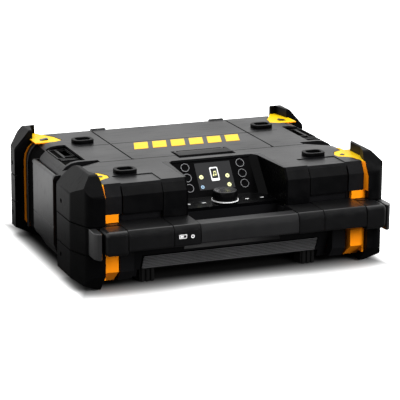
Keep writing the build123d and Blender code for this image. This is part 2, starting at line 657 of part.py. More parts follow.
def guard_form(profile, rounding):
    """Outer form of a right-hand guard: its plan, cross-section and side profile in common."""
    with BuildPart() as form:
        with BuildSketch(Plane.XY.offset(GUARD_BASE_Z)):
            add(housing_plan(GUARD_GROW, GUARD_R))
        extrude(amount=EAR_Z - GUARD_BASE_Z)
        with BuildSketch(Plane.XZ.offset(-250)) as section:
            with BuildLine():
                Polyline((150, GUARD_BASE_Z), (GUARD_OUT - GUARD_FOOT_IN, GUARD_BASE_Z),
                         (GUARD_OUT, GUARD_LOW), (GUARD_OUT, GUARD_HIGH),
                         (GUARD_OUT - EAR_IN, EAR_Z), (150, EAR_Z), close=True)
            make_face()
            for x, z, radius in ((GUARD_OUT, GUARD_HIGH, BEVEL_R),
                                 (GUARD_OUT - EAR_IN, EAR_Z, EAR_R)):
                fillet(section.vertices().sort_by_distance((x, z, 0))[0], radius)
        extrude(amount=500, mode=Mode.INTERSECT)
        add(side_prism((150, 300), profile, rounding), mode=Mode.INTERSECT)
    return form.part


def housing_form():
    """The closed housing, for trimming what is laid on it."""
    with BuildPart() as form:
        add(tub_form(0))
        add(outer_deck.part)
    return form.part


HOUSING = housing_form()

# outer form of the coloured bands that lie between the housing and its guards
with BuildPart() as band_form:
    add(shouldered(INSERT_GROW, 1.5, BAND_FOOT_Z, 0))
    add(front_bevel(260, 0.8), mode=Mode.SUBTRACT)

GROOVE_DEPTH, GROOVE_W = 3.5, 1.8
with BuildPart() as guard_grooves:
    for z in GUARD_GROOVES:
        with BuildSketch(Plane.XY.offset(z - GROOVE_W / 2)):
            Rectangle(600, 600)
            add(housing_plan(GUARD_GROW - GROOVE_DEPTH, GUARD_R), mode=Mode.SUBTRACT)
        extrude(amount=GROOVE_W)


def guard_screw_holes(spots):
    """Counterbored screw holes in a right-hand guard."""
    with BuildPart() as holes:
        for y, z in spots:
            plane = Plane(origin=(GUARD_OUT, y, z), x_dir=(0, 0, 1), z_dir=(-1, 0, 0))
            add(rod(plane, (0, 0), GUARD_SCREW_HEAD_R + 0.2, GUARD_SCREW_SINK, PIN_SIDES))
            add(rod(plane, (0, 0), SCREW_R, GUARD_GROW, PIN_SIDES))
    return holes.part


# what the ears leave open over the deck, as plan outlines
EAR_OPEN_FRONT = [(170, -30), (224, -30), (214, -53), (202.5, -72), (202.5, -104), (199, -114),
                  (196, -124), (GUARD_INNER_X, -133), (GUARD_INNER_X, -170), (170, -170)]
EAR_OPEN_REAR = [(150, 100), (203, 100), (203, 156), (200, 172), (198, 184), (150, 184)]
EAR_FLOOR_Z = 137.0
FLARE = [(208, GUARD_FACE_Y + 6), (208, -176), (210, -180.5), (214, -178), (217.5, -171),
         (217, GUARD_FACE_Y + 12)]

with BuildPart() as guard_front:
    add(guard_form(FRONT_PROFILE, FRONT_ROUNDING))
    add(block((GUARD_INNER_X, 300), (-300, 0), (-10, 200)), mode=Mode.INTERSECT)
    add(plan_prism(EAR_OPEN_FRONT, EAR_FLOOR_Z, 200), mode=Mode.SUBTRACT)
    add(plan_prism(FLARE, GUARD_GROOVES[0] + 3, GUARD_GROOVES[1] - 1))
    add(guard_grooves.part, mode=Mode.SUBTRACT)
    add(band_form.part, mode=Mode.SUBTRACT)
    add(HOUSING, mode=Mode.SUBTRACT)
    add(guard_screw_holes(GUARD_SCREWS[0]), mode=Mode.SUBTRACT)
write_pair(guard_front.part, "guard_front")

# ---------------------------------------------------------------- corner bands
STRIP_X = (POD_END_X, GUARD_INNER_X)    # the bevelled strip that shows beside a front guard
UPPER_BLOCK_Z = (BAR_Z[1], 108.8)
LOWER_BLOCK = [(-105, 66), (POD_FACE_Y, 66), (POD_FACE_Y, 28), (-118, 10), (-105, 10)]

STRIP_BEVEL = ((POD_CREST[0] - POD_BEVEL[0]), (POD_CREST[1] - POD_BEVEL[1]))    # its (Y, Z) rise

with BuildPart() as front_strip:
    low_y = (POD_FACE_Y - 0.6, GUARD_FACE_Y + 0.8)
    add(plan_prism([(STRIP_X[0], -120), (STRIP_X[0], low_y[0]), (STRIP_X[1], low_y[1]),
                    (STRIP_X[1], -120)], 109, PAD_Z))
    across = Vector(STRIP_X[1] - STRIP_X[0], low_y[1] - low_y[0], -5.0)
    split(bisect_by=Plane(origin=(STRIP_X[0], low_y[0], 134.6),
                          z_dir=across.cross(Vector(0, *STRIP_BEVEL))), keep=Keep.BOTTOM)

with BuildPart() as band_front:
    add(band_form.part)
    add(block((STRIP_X[0], 300), (-300, GUARD_FRONT_END_Y + 1.5), (-10, 200)), mode=Mode.INTERSECT)
    add(front_strip.part)
    add(block(INSERT_X, (POD_FACE_Y, FRONT_Y), UPPER_BLOCK_Z))
    add(side_prism(INSERT_X, LOWER_BLOCK))
    add(plan_prism(FRONT_PAD, PAD_FLOOR_Z, PAD_Z))
    add(plan_prism(EAR_OPEN_FRONT, PAD_Z, 200), mode=Mode.SUBTRACT)
    add(HOUSING, mode=Mode.SUBTRACT)
    add(guard_front.part, mode=Mode.SUBTRACT)
    add(block((160, STRIP_X[0]), (POD_FACE_Y - 1, -123), (109, DECK_Z)), mode=Mode.SUBTRACT)
    add(block((160, 260), (-300, POD_FACE_Y - EPS), BAR_Z), mode=Mode.SUBTRACT)
    add(guard_screw_holes(GUARD_SCREWS[0]), mode=Mode.SUBTRACT)
    add(rod(Plane.XY.offset(120), SCREW_XY[0], SCREW_R, 40, PIN_SIDES), mode=Mode.SUBTRACT)
write_pair(band_front.part, "corner_band_front")

with BuildPart() as rear_lip:
    add(shouldered(BAND_LIP, 1.0, BAND_FOOT_Z, 0))
    add(block((195, 300), (GUARD_REAR_END_Y - 1, GUARD_REAR_END_Y + 5), (-10, 200)),
        mode=Mode.INTERSECT)

with BuildPart() as band_rear:
    add(band_form.part)
    add(block((190, 300), (GUARD_REAR_END_Y + 4, 300), (-10, 200)), mode=Mode.INTERSECT)
    add(rear_lip.part)
    add(plan_prism(REAR_PAD, PAD_FLOOR_Z, PAD_Z))
    add(plan_prism(EAR_OPEN_REAR, PAD_Z, 200), mode=Mode.SUBTRACT)
    add(HOUSING, mode=Mode.SUBTRACT)
    add(guard_screw_holes(GUARD_SCREWS[1]), mode=Mode.SUBTRACT)
    add(rod(Plane.XY.offset(120), SCREW_XY[1], SCREW_R, 40, PIN_SIDES), mode=Mode.SUBTRACT)
write_pair(band_rear.part, "corner_band_rear")

with BuildPart() as guard_rear:
    add(guard_form(REAR_PROFILE, REAR_ROUNDING))
    add(block((190, 300), (GUARD_REAR_END_Y, 300), (-10, 200)), mode=Mode.INTERSECT)
    add(plan_prism(EAR_OPEN_REAR, EAR_FLOOR_Z, 200), mode=Mode.SUBTRACT)
    add(guard_grooves.part, mode=Mode.SUBTRACT)
    add(band_rear.part, mode=Mode.SUBTRACT)
    add(HOUSING, mode=Mode.SUBTRACT)
    add(guard_screw_holes(GUARD_SCREWS[1]), mode=Mode.SUBTRACT)
write_pair(guard_rear.part, "guard_rear")

with BuildPart() as guard_screws:
    for spots in GUARD_SCREWS:
        for y, z in spots:
            seat = Plane(origin=(GUARD_OUT - GUARD_SCREW_SINK, y, z), x_dir=(0, 0, 1),
                         z_dir=(-1, 0, 0))
            add(rod(seat.offset(-2), (0, 0), GUARD_SCREW_HEAD_R, 2, PIN_SIDES))
            add(rod(seat, (0, 0), SCREW_R, GUARD_GROW - GUARD_SCREW_SINK, PIN_SIDES))
write(both_sides(guard_screws.part), "guard_screws")

DECK_SCREW_R, DECK_SCREW_H = 3.2, 1.4
with BuildPart() as deck_screws:
    for x, y in SCREW_XY:
        add(rod(Plane.XY.offset(PLATE_Z - 4), (x, y), SCREW_R, PAD_Z - PLATE_Z + 4, PIN_SIDES))
        with BuildSketch(Plane.XY.offset(PAD_Z)):
            with Locations((x, y)):
                RegularPolygon(DECK_SCREW_R, PIN_SIDES)
        extrude(amount=DECK_SCREW_H, taper=25)
write(both_sides(deck_screws.part), "deck_screws")

# ---------------------------------------------------------------- compartment
TUB_X, TUB_Y, TUB_Z = (106.5, 103.0), (-14.6, 167.5), (85.0, 144.0)
LID_EDGE_X = LID_X - LID_GAP
LID_REAR_Y = REAR_Y - LID_GAP
LID_UNDER_Z = DECK_Z - LID_T
TAB_POCKET = ((-TAB_X - 0.7, TAB_X + 0.7), (LID_Y[0] - 5, TAB_Y[1] + 0.7))
TAB_UNDER_Z = 146.4
TAB_PIVOT = (4.0, 147.8)            # (Y, Z) of the tab's hinge line on the lid
TAB_END_R, TAB_ROD_R = 1.5, 0.8
BARREL_X = (88.4, 101.6)

with BuildPart() as compartment_tub:
    add(block((-TUB_X[0], TUB_X[0]), TUB_Y, TUB_Z))
    add(block((-112, 112), (0, 160), (143, PLATE_Z)))
    add(block((-TUB_X[1], TUB_X[1]), (TUB_Y[0] + 3.5, TUB_Y[1] - 4.5), (TUB_Z[0] + 3, 160)),
        mode=Mode.SUBTRACT)
    add(block((-LID_X, LID_X), (-30, 200), (TUB_Z[1], 160)), mode=Mode.SUBTRACT)
    chamfer(compartment_tub.edges().filter_by(Axis.Z).filter_by(
        lambda e: abs(abs(e.center().X) - TUB_X[1]) < 1), 6)
write(compartment_tub.part, "compartment_tub")

with BuildPart() as lid_seal:
    add(block((-TUB_X[0], TUB_X[0]), (TUB_Y[0], TUB_Y[1] - 1), (TUB_Z[1], TUB_Z[1] + 0.8)))
    add(block((-TUB_X[1], TUB_X[1]), (TUB_Y[0] + 3.5, TUB_Y[1] - 4.5), (140, 150)),
        mode=Mode.SUBTRACT)
write(lid_seal.part, "lid_seal")

with BuildPart() as compartment_lid:
    add(block((-LID_EDGE_X, LID_EDGE_X), (LID_Y[0] + LID_GAP, LID_REAR_Y), (LID_UNDER_Z, DECK_Z)))
    chamfer(compartment_lid.edges().filter_by(Axis.Z).group_by(Axis.Y)[0], 3)
    add(block(*TAB_POCKET, (TAB_UNDER_Z - 0.2, 160)), mode=Mode.SUBTRACT)
    add(block((-LID_X, LID_X), (80.7 - 0.8, 80.7 + 0.8), (DECK_Z - 1.2, 160)), mode=Mode.SUBTRACT)
    for side in (-1, 1):
        for x0, x1 in ((83.4, BARREL_X[0]), (BARREL_X[1], 110.0)):
            x = sorted((side * x0, side * x1))
            add(block(x, (REAR_Y - WALL - 0.4, 190), (130, 160)), mode=Mode.SUBTRACT)
        x = sorted((side * BARREL_X[0], side * BARREL_X[1]))
        add(block(x, (LID_REAR_Y - 5, HINGE[0]), (LID_UNDER_Z, DECK_Z)))
        add(hinge_rod(HINGE_R, x[0], x[1] - x[0], HINGE_SIDES))
        add(hinge_rod(HINGE_BORE_R + 0.1, x[0] - 1, x[1] - x[0] + 2, HINGE_SIDES),
            mode=Mode.SUBTRACT)
        # ears that carry the tab's pivot rod
        x = sorted((side * (TAB_X - 6), side * (TAB_X - 3)))
        add(block(x, (TAB_PIVOT[0] - 1.6, TAB_POCKET[1][1]), (LID_UNDER_Z, DECK_Z + 0.2)))
    add(rod(Plane.YZ.offset(3 - TAB_X), TAB_PIVOT, TAB_ROD_R, 2 * TAB_X - 6))
    for y in (30, 55, 110, 140):
        add(block((-96, 96), (y, y + 2), (LID_UNDER_Z - 3, LID_UNDER_Z)))
write(compartment_lid.part, "compartment_lid")

with BuildPart() as lid_latch:
    add(side_prism((-TAB_X, TAB_X), [
        (TAB_PIVOT[0], TAB_PIVOT[1] + TAB_END_R), (TAB_PIVOT[0], TAB_UNDER_Z + 0.4),
        (TAB_Y[0] + 3, TAB_UNDER_Z + 0.4), (TAB_Y[0] + 2.4, 142.6), (TAB_Y[0], 142.6),
        (TAB_Y[0] - 0.6, 147.4), (TAB_Y[0] + 2.5, DECK_Z + 1.4), (TAB_PIVOT[0] - 7, DECK_Z + 1.2)]))
    add(rod(Plane.YZ.offset(-TAB_X), TAB_PIVOT, TAB_END_R, 2 * TAB_X, PIN_SIDES))
    for side in (-1, 1):
        x = sorted((side * (TAB_X - 6.4), side * (TAB_X - 2.6)))
        add(block(x, (TAB_PIVOT[0] - 4.6, TAB_Y[1] + 1), (140, 160)), mode=Mode.SUBTRACT)
    add(rod(Plane.YZ.offset(-TAB_X - 1), TAB_PIVOT, bore_radius(TAB_ROD_R + 0.1, PIN_SIDES),
            2 * TAB_X + 2, PIN_SIDES), mode=Mode.SUBTRACT)
write(lid_latch.part, "lid_latch")

with BuildPart() as latch_strike:
    add(block((STRIKE[0][0] - 2.5, STRIKE[0][1] + 2.5), (STRIKE[1][0] - 2.5, STRIKE[1][1]),
              (136, PLATE_Z)))
    add(block(STRIKE[0], (STRIKE[1][0], STRIKE[1][1] - 2), (138.5, 160)), mode=Mode.SUBTRACT)
    add(block((-12, 12), (TAB_Y[0] + 3.3, STRIKE[1][1] - 2), (138.5, 146)))
write(latch_strike.part, "latch_strike")

# ---------------------------------------------------------------- side latches
HOOK_Y = (6.0, 72.0)
with BuildPart() as side_latch:
    add(latch_rod(LATCH_R, LATCH_Y[0] + 0.1, LATCH_Y[1] - LATCH_Y[0] - 0.2, HINGE_SIDES))
    with BuildSketch(Plane.XZ.offset(-LATCH_Y[1] + 0.1)):
        with BuildLine():
            Polyline((LATCH_PIVOT[0], LATCH_PIVOT[1]), (LATCH_OUT_X, LATCH_PIVOT[1]),
                     (LATCH_OUT_X, 33), (LATCH_OUT_X - 3.4, 25), (LATCH_OUT_X - 5, 27),
                     (LATCH_OUT_X - 4, 34), (LATCH_OUT_X - 4, 118), close=True)
        make_face()
    extrude(amount=LATCH_Y[1] - LATCH_Y[0] - 0.2)
    with BuildSketch(Plane.XZ.offset(-HOOK_Y[1])):
        with BuildLine():
            Polyline((216.9, 30), (LATCH_OUT_X - 3.4, 25), (208, 9.5), (204.5, 9.5), (204.5, 12.5),
                     (206.5, 12.5), (215.5, 27), close=True)
        make_face()
    extrude(amount=HOOK_Y[1] - HOOK_Y[0])
    add(latch_rod(LATCH_BORE_R + 0.1, LATCH_Y[0] - 1, 110, HINGE_SIDES), mode=Mode.SUBTRACT)
    for y in (14.0, 45.0, 76.0):
        add(block((LATCH_OUT_X - 5.6, LATCH_OUT_X - 3.9), (y, y + 2), (40, 110)))
    add(block((LATCH_OUT_X - 0.8, LATCH_OUT_X + 1), (-10, 100), (57.4, 58.6)), mode=Mode.SUBTRACT)
write_pair(side_latch.part, "side_latch")

# ---------------------------------------------------------------- lower front grille
LEAN = Plane(origin=(0, -112.5, 19.0), x_dir=(1, 0, 0), z_dir=(0, -47.0, -21.0))
GRILLE_HALF, GRILLE_RISE = 132.0, 24.0
RIBS = 7
with BuildPart() as front_grille:
    with BuildSketch(LEAN):
        with Locations((0, 0.6 + GRILLE_RISE / 2)):
            Rectangle(2 * GRILLE_HALF, GRILLE_RISE)
        rib_pitch = (GRILLE_RISE - 1.6) / RIBS
        with Locations([(side * 66.5, 2.2 + rib_pitch * (rib + 0.5) - 0.5)
                        for side in (-1, 1) for rib in range(RIBS)]):
            Rectangle(125, rib_pitch - 1.5, mode=Mode.SUBTRACT)
    extrude(amount=1.6)
write(front_grille.part, "front_grille")

# ---------------------------------------------------------------- inside
WOOFER_XZ = (106.0, 43.5)
WOOFER_R = 22.0
front_slope = (133.5 - 112.5) / (66.0 - 19.0)       # lean of the lower front, Y over Z
woofer_y = FRONT_Y + WALL + front_slope * (66.0 - WOOFER_XZ[1]) + EPS
with BuildPart() as woofer:
    add(turned(Plane.XY, [(12, -24), (12, -12), (WOOFER_R, -3), (WOOFER_R, 0)], ROUND_SIDES))
    add(turned(Plane.XY, [(7, -7), (19, 0)], ROUND_SIDES), mode=Mode.SUBTRACT)
with BuildPart() as woofers:
    for side in (-1, 1):
        add(woofer.part.moved(Location((side * WOOFER_XZ[0], woofer_y, WOOFER_XZ[1]),
                                       (90 + math.degrees(math.atan(front_slope)), 0, 0))))
write(woofers.part, "woofers")

TWEETER_XZ = (137.0, 121.0)
with BuildPart() as tweeter:
    add(turned(Plane.XY, [(10, -14), (14, -3), (14, 0)], PIN_SIDES))
    add(turned(Plane.XY, [(9, -4), (11, 0)], PIN_SIDES), mode=Mode.SUBTRACT)
with BuildPart() as tweeters:
    for side in (-1, 1):
        add(tweeter.part.moved(Location((side * TWEETER_XZ[0], FRONT_Y + WALL, TWEETER_XZ[1]),
                                        (90, 0, 0))))
write(tweeters.part, "tweeters")

with BuildPart() as main_board:
    add(block((-150, 60), (20, 150), (22, 23.6)))
    for spot in ((-140, 30), (-140, 140), (50, 30), (50, 140)):
        add(rod(Plane.XY.offset(11), spot, 3.5, 11, 6))
    add(block((-60, -30), (60, 90), (23.6, 27)))
    add(block((0, 24), (50, 74), (23.6, 26)))
write(main_board.part, "main_board")

with BuildPart() as power_supply:
    add(block((90, 170), (60, 140), (11, 13)))
    add(block((100, 160), (72, 128), (13, 50)))
    add(block((110, 150), (66, 134), (22, 41)))
write(power_supply.part, "power_supply")

with BuildPart() as power_inlet:
    add(block((INLET_X[0] - 3, INLET_X[1] + 3), (REAR_Y - 20, REAR_Y - WALL), (37, 59)))
    add(block(INLET_X, (REAR_Y - WALL, REAR_Y), INLET_Z))
    add(block((INLET_X[0] + 3, INLET_X[1] - 3), (REAR_Y - 14, REAR_Y + 5), (43.5, 52.5)),
        mode=Mode.SUBTRACT)
    with Locations([(x, REAR_Y - 9.5, 48) for x in (-129.5, -120.5)]):
        Box(2.4, 9, 2.4)
write(power_inlet.part, "power_inlet")
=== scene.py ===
import math

import bmesh
import bpy
from mathutils import Matrix, Vector


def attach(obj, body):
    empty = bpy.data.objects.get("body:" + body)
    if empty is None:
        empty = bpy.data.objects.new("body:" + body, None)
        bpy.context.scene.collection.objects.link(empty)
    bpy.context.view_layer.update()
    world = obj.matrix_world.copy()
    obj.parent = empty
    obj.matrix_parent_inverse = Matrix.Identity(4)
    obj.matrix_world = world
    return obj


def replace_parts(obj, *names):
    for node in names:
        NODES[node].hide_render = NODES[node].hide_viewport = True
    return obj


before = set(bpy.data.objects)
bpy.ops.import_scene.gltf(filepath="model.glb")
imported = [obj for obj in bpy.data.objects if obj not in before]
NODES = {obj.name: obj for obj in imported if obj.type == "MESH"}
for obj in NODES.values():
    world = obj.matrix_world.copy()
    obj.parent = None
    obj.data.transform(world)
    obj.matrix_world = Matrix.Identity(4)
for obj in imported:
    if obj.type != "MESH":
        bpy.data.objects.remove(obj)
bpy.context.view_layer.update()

MM = 0.001
SIDES = (("left", -1), ("right", 1))

# camera in metres and degrees
CAMERA_AT, CAMERA_TURNS, CAMERA_LENS = (-0.9712, -2.4322, 0.7941), (-21.78, 15.34, 0.42), 170.0

# light: directions in which the surroundings and the floor's painted glow brighten, and strengths
BACKLIGHT, TENT_DARK, TENT_BRIGHT = (-0.30, 0.80, 0.45), 0.02, 1.6
SHINE_LEFT, SHINE_RIGHT, SHINE = (-0.45, 0.89, 0.0), (0.75, 0.66, 0.0), 1.1

# the floor and the soft shadow painted on it, in metres
FLOOR_HALF = 30.0
SHADE_HALF_X, SHADE_HALF_Y, SHADE_Y = 0.209, 0.151, 0.039
FADE_X, FADE_Y = 0.03, 0.07

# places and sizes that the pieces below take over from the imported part, in millimetres
BUTTON_U, BUTTON_V, BUTTON_R = 41.6, (19.4, 3.7, -12.0), 6.7
KEY_U, KEY_V = (("inner", 32.3), ("outer", 55.0)), -1.8
KNOB_AT, KNOB_R, KNOB_TOP_R, KNOB_H = (0.0, -95.2, 101.8), 17.4, 16.4, 13.4
PEG_AT, PEG_SIZE, PEG_HOLLOW, PEG_H = ((141.3, -78.6), (141.3, 106.1)), (31, 25), (21.5, 15.5), 5.2
DECK_SCREW_AT, DECK_SCREW_Z = ((181.0, -91.0), (187.0, 142.0)), 148.6
GUARD_SCREW_AT = ((-72.0, 115.0), (-68.5, 39.0), (163.0, 113.0), (166.0, 37.0))
GUARD_SCREW_X = 227.0
SHOULDER_X, SHOULDER_Z, SHOULDER_R, SHOULDER_FLATS = 214.0, 149.0, 30.0, 5
GROOVES_Y, GROOVE_W = (-15.6, 80.7), 1.6
CAP_X, CAP_AT, CAP_SIZE = (175.0, 205.0), (-169.4, 80.55), (37.2, 33.9)
ARM_X, ARM_AT, ARM_SIZE = (175.0, 194.0), (-145.8, 81.5), (10.4, 31.0)
FLARE, FLARE_Z = ((207.7, -150.0), (207.7, -176.1), (209.9, -180.9), (214.2, -178.3),
                  (217.8, -171.1), (217.5, -150.0)), (58.4, 94.9)

# details that only this file has, in millimetres; a head is radius, height, radius of the socket
BUTTON_RING_R, BUTTON_RING_H = (5.4, 6.3), (0.85, 1.0)
KNOB_LINE_R, KNOB_LINE_H = (17.9, 18.9), (-1.2, 0.1)
DECK_SCREW_HEAD, GUARD_SCREW_HEAD = (3.2, 1.3, 1.4), (3.3, 1.8, 1.5)


# ---------------------------------------------------------------- camera, lamps, floor
def make_camera():
    """A long lens from the left front, a little above the radio."""
    yaw, pitch, roll = (math.radians(turn) for turn in CAMERA_TURNS)
    back = Vector((math.sin(yaw) * math.cos(pitch), -math.cos(yaw) * math.cos(pitch),
                   math.sin(pitch)))
    right = (-back).cross(Vector((0, 0, 1))).normalized()
    up = right.cross(-back)
    side = right * math.cos(roll) + up * math.sin(roll)
    top = up * math.cos(roll) - right * math.sin(roll)
    data = bpy.data.cameras.new("camera")
    data.sensor_width = 36.0
    data.lens = CAMERA_LENS
    data.clip_start, data.clip_end = 0.05, 50.0
    cam = bpy.data.objects.new("camera", data)
    cam.matrix_world = (Matrix.Translation(CAMERA_AT)
                        @ Matrix((side, top, back)).transposed().to_4x4())
    bpy.context.scene.collection.objects.link(cam)
    bpy.context.scene.camera = cam


def area_lamp(name, place, target, size, power, mirrored=True):
    """A rectangular lamp aimed at a target; mirrored says whether glossy faces show it."""
    data = bpy.data.lights.new(name, "AREA")
    data.shape = "RECTANGLE"
    data.size, data.size_y = size
    data.energy = power
    lamp = bpy.data.objects.new(name, data)
    lamp.location = place
    lamp.rotation_mode = "QUATERNION"
    lamp.rotation_quaternion = (Vector(target) - Vector(place)).to_track_quat("-Z", "Y")
    lamp.visible_glossy = mirrored
    bpy.context.scene.collection.objects.link(lamp)


def node(tree, kind, **inputs):
    """A shader node with the given numbers on its sockets (spaces in names as underscores)."""
    made = tree.nodes.new(kind)
    for key, number in inputs.items():
        made.inputs[key.replace("_", " ")].default_value = number
    return made


def maths(tree, operation, a, b):
    """The result of a maths node on two sockets or numbers."""
    made = tree.nodes.new("ShaderNodeMath")
    made.operation = operation
    for socket, value in zip(made.inputs, (a, b)):
        if isinstance(value, (int, float)):
            socket.default_value = value
        else:
            tree.links.new(value, socket)
    return made.outputs[0]


def ranged(tree, value, low, high, to_low, to_high, smooth=False):
    """A value mapped from one range to another and held at its ends."""
    made = node(tree, "ShaderNodeMapRange", From_Min=low, From_Max=high, To_Min=to_low,
                To_Max=to_high)
    if smooth:
        made.interpolation_type = "SMOOTHSTEP"
    tree.links.new(value, made.inputs["Value"])
    return made.outputs["Result"]


def along(tree, vector, direction):
    """How far a vector reaches along a direction."""
    dot = tree.nodes.new("ShaderNodeVectorMath")
    dot.operation = "DOT_PRODUCT"
    dot.inputs[1].default_value = direction
    tree.links.new(vector, dot.inputs[0])
    return dot.outputs["Value"]


def make_world():
    """White behind and above and dark in front, as in a tent that is open towards the camera."""
    world = bpy.data.worlds.new("studio")
    world.use_nodes = True
    bpy.context.scene.world = world
    tree = world.node_tree
    tree.nodes.clear()
    link = tree.links.new
    out = node(tree, "ShaderNodeOutputWorld")
    seen = node(tree, "ShaderNodeBackground", Color=(1, 1, 1, 1))
    light = node(tree, "ShaderNodeBackground")
    mix = node(tree, "ShaderNodeMixShader")
    path = node(tree, "ShaderNodeLightPath")
    coord = node(tree, "ShaderNodeTexCoord")
    behind = along(tree, coord.outputs["Generated"], BACKLIGHT)
    link(ranged(tree, behind, -0.70, 0.55, TENT_DARK, TENT_BRIGHT), light.inputs["Strength"])
    link(path.outputs["Is Camera Ray"], mix.inputs[0])
    link(light.outputs[0], mix.inputs[1])
    link(seen.outputs[0], mix.inputs[2])
    link(mix.outputs[0], out.inputs["Surface"])


def make_floor():
    """A white table with a soft shadow painted under the radio. To all but the camera it is dark,
    and glows only behind and beside the radio, a painted glow that gives its faces their sheen."""
    corners = [(x * FLOOR_HALF, y * FLOOR_HALF, 0) for x, y in ((-1, -1), (1, -1), (1, 1), (-1, 1))]
    mesh = bpy.data.meshes.new("floor")
    mesh.from_pydata(corners, [], [(0, 1, 2, 3)])
    floor = bpy.data.objects.new("floor", mesh)
    bpy.context.scene.collection.objects.link(floor)
    mat = bpy.data.materials.new("floor")
    mat.use_nodes = True
    tree = mat.node_tree
    tree.nodes.clear()
    link = tree.links.new
    out = node(tree, "ShaderNodeOutputMaterial")
    base = node(tree, "ShaderNodeBsdfDiffuse")
    lift = node(tree, "ShaderNodeEmission")
    both = node(tree, "ShaderNodeAddShader")
    path = node(tree, "ShaderNodeLightPath")
    coord = node(tree, "ShaderNodeTexCoord")
    grain = node(tree, "ShaderNodeTexNoise", Scale=3.0)
    seen = path.outputs["Is Camera Ray"]
    unseen = maths(tree, "SUBTRACT", 1.0, seen)
    split = node(tree, "ShaderNodeSeparateXYZ")
    link(coord.outputs["Object"], split.inputs[0])

    def past(value, half, fade):
        reach = maths(tree, "SUBTRACT", maths(tree, "ABSOLUTE", value, 0), half)
        return maths(tree, "DIVIDE", reach, fade)

    def shining(direction, start):
        reach = along(tree, coord.outputs["Object"], direction)
        return ranged(tree, reach, start, 0.60, 0.0, SHINE, smooth=True)

    def chosen(for_camera, for_others):
        return maths(tree, "ADD", maths(tree, "MULTIPLY", for_camera, seen),
                     maths(tree, "MULTIPLY", for_others, unseen))

    from_middle = maths(tree, "SUBTRACT", split.outputs["Y"], SHADE_Y)
    off = maths(tree, "MAXIMUM", past(split.outputs["X"], SHADE_HALF_X, FADE_X),
                past(from_middle, SHADE_HALF_Y, FADE_Y))
    # painted shadow: for the camera the floor's colour darkens towards the radio
    painted_shadow = ranged(tree, off, -0.2, 1.0, 0.01, 1.0, smooth=True)
    white = maths(tree, "MULTIPLY", painted_shadow,
                  ranged(tree, grain.outputs["Fac"], 0.0, 1.0, 0.86, 0.90))
    link(chosen(white, 0.05), base.inputs["Color"])
    # for the camera the floor is lifted to white only away from the painted shadow
    lift_beyond_painted_shadow = ranged(tree, off, 0.3, 1.2, 0.0, 0.9, smooth=True)
    # painted glow: to all but the camera the floor shines behind and beside the radio, for the
    # sheen on its faces
    painted_glow = maths(tree, "MAXIMUM", shining(SHINE_LEFT, 0.22), shining(SHINE_RIGHT, 0.25))
    link(chosen(lift_beyond_painted_shadow, painted_glow), lift.inputs["Strength"])
    link(base.outputs[0], both.inputs[0])
    link(lift.outputs[0], both.inputs[1])
    link(both.outputs[0], out.inputs["Surface"])
    mesh.materials.append(mat)


# ---------------------------------------------------------------- materials
# scales of the noises in the plastics, per metre
TONE_SCALE, GLOSS_SCALE, SCUFF_SCALE, RUB_SCALE, GRAIN_SCALE = 14.0, 9.0, 22.0, 60.0, 900.0


def plastic(name, color, rough, specular=0.5, bump=0.12, spread=0.15, wear=0.002, top=None):
    """Moulded plastic: a fine spark-eroded grain, slow changes of gloss and tone, faint scuffs
    and edges that are rubbed a little paler. Faces that look up can get a paler colour of their
    own, painted light from above."""
    mat = bpy.data.materials.new(name)
    mat.use_nodes = True
    tree = mat.node_tree
    link = tree.links.new
    shader = tree.nodes["Principled BSDF"]
    shader.inputs["Specular IOR Level"].default_value = specular
    where = node(tree, "ShaderNodeTexCoord").outputs["Object"]

    def noise(scale, detail, stretch=(1, 1, 1)):
        mapping = node(tree, "ShaderNodeMapping", Scale=stretch)
        made = node(tree, "ShaderNodeTexNoise", Scale=scale, Detail=detail)
        link(where, mapping.inputs["Vector"])
        link(mapping.outputs[0], made.inputs["Vector"])
        return made.outputs["Fac"]

    def mixed(factor, low, high):
        made = tree.nodes.new("ShaderNodeMix")
        made.data_type = "RGBA"
        link(factor, made.inputs["Factor"])
        for key, value in (("A", low), ("B", high)):
            if isinstance(value, tuple):
                made.inputs[key].default_value = (*value, 1)
            else:
                link(value, made.inputs[key])
        return made.outputs["Result"]

    dark = tuple(c * (1 - spread) for c in color)
    pale = tuple(min(1.0, c * (1 + spread)) for c in color)
    tone = mixed(ranged(tree, noise(TONE_SCALE, 3.0), 0.3, 0.7, 0.0, 1.0), dark, pale)
    shape = node(tree, "ShaderNodeNewGeometry")
    # painted light from above: faces that look up take the paler top colour
    if top:
        painted_top_light = along(tree, shape.outputs["True Normal"], (0.0, 0.0, 1.0))
        tone = mixed(ranged(tree, painted_top_light, 0.55, 0.95, 0.0, 1.0), tone, top)
    if wear:
        edge = shape.outputs["Pointiness"]
        rub = maths(tree, "MULTIPLY", ranged(tree, edge, 0.52, 0.62, 0.0, 1.0),
                    ranged(tree, noise(RUB_SCALE, 3.0), 0.40, 0.65, 0.0, 1.0))
        tone = mixed(rub, tone, tuple(min(1.0, c + wear) for c in color))
    link(tone, shader.inputs["Base Color"])
    scuffs = ranged(tree, noise(SCUFF_SCALE, 4.0, (1.0, 9.0, 3.0)), 0.55, 0.8, 0.0, 0.10)
    slow = ranged(tree, noise(GLOSS_SCALE, 2.0), 0.3, 0.7, rough - 0.04, rough + 0.04)
    link(maths(tree, "ADD", slow, scuffs), shader.inputs["Roughness"])
    relief = node(tree, "ShaderNodeBump", Strength=bump, Distance=0.0004)
    link(noise(GRAIN_SCALE, 2.0), relief.inputs["Height"])
    link(relief.outputs[0], shader.inputs["Normal"])
    return mat


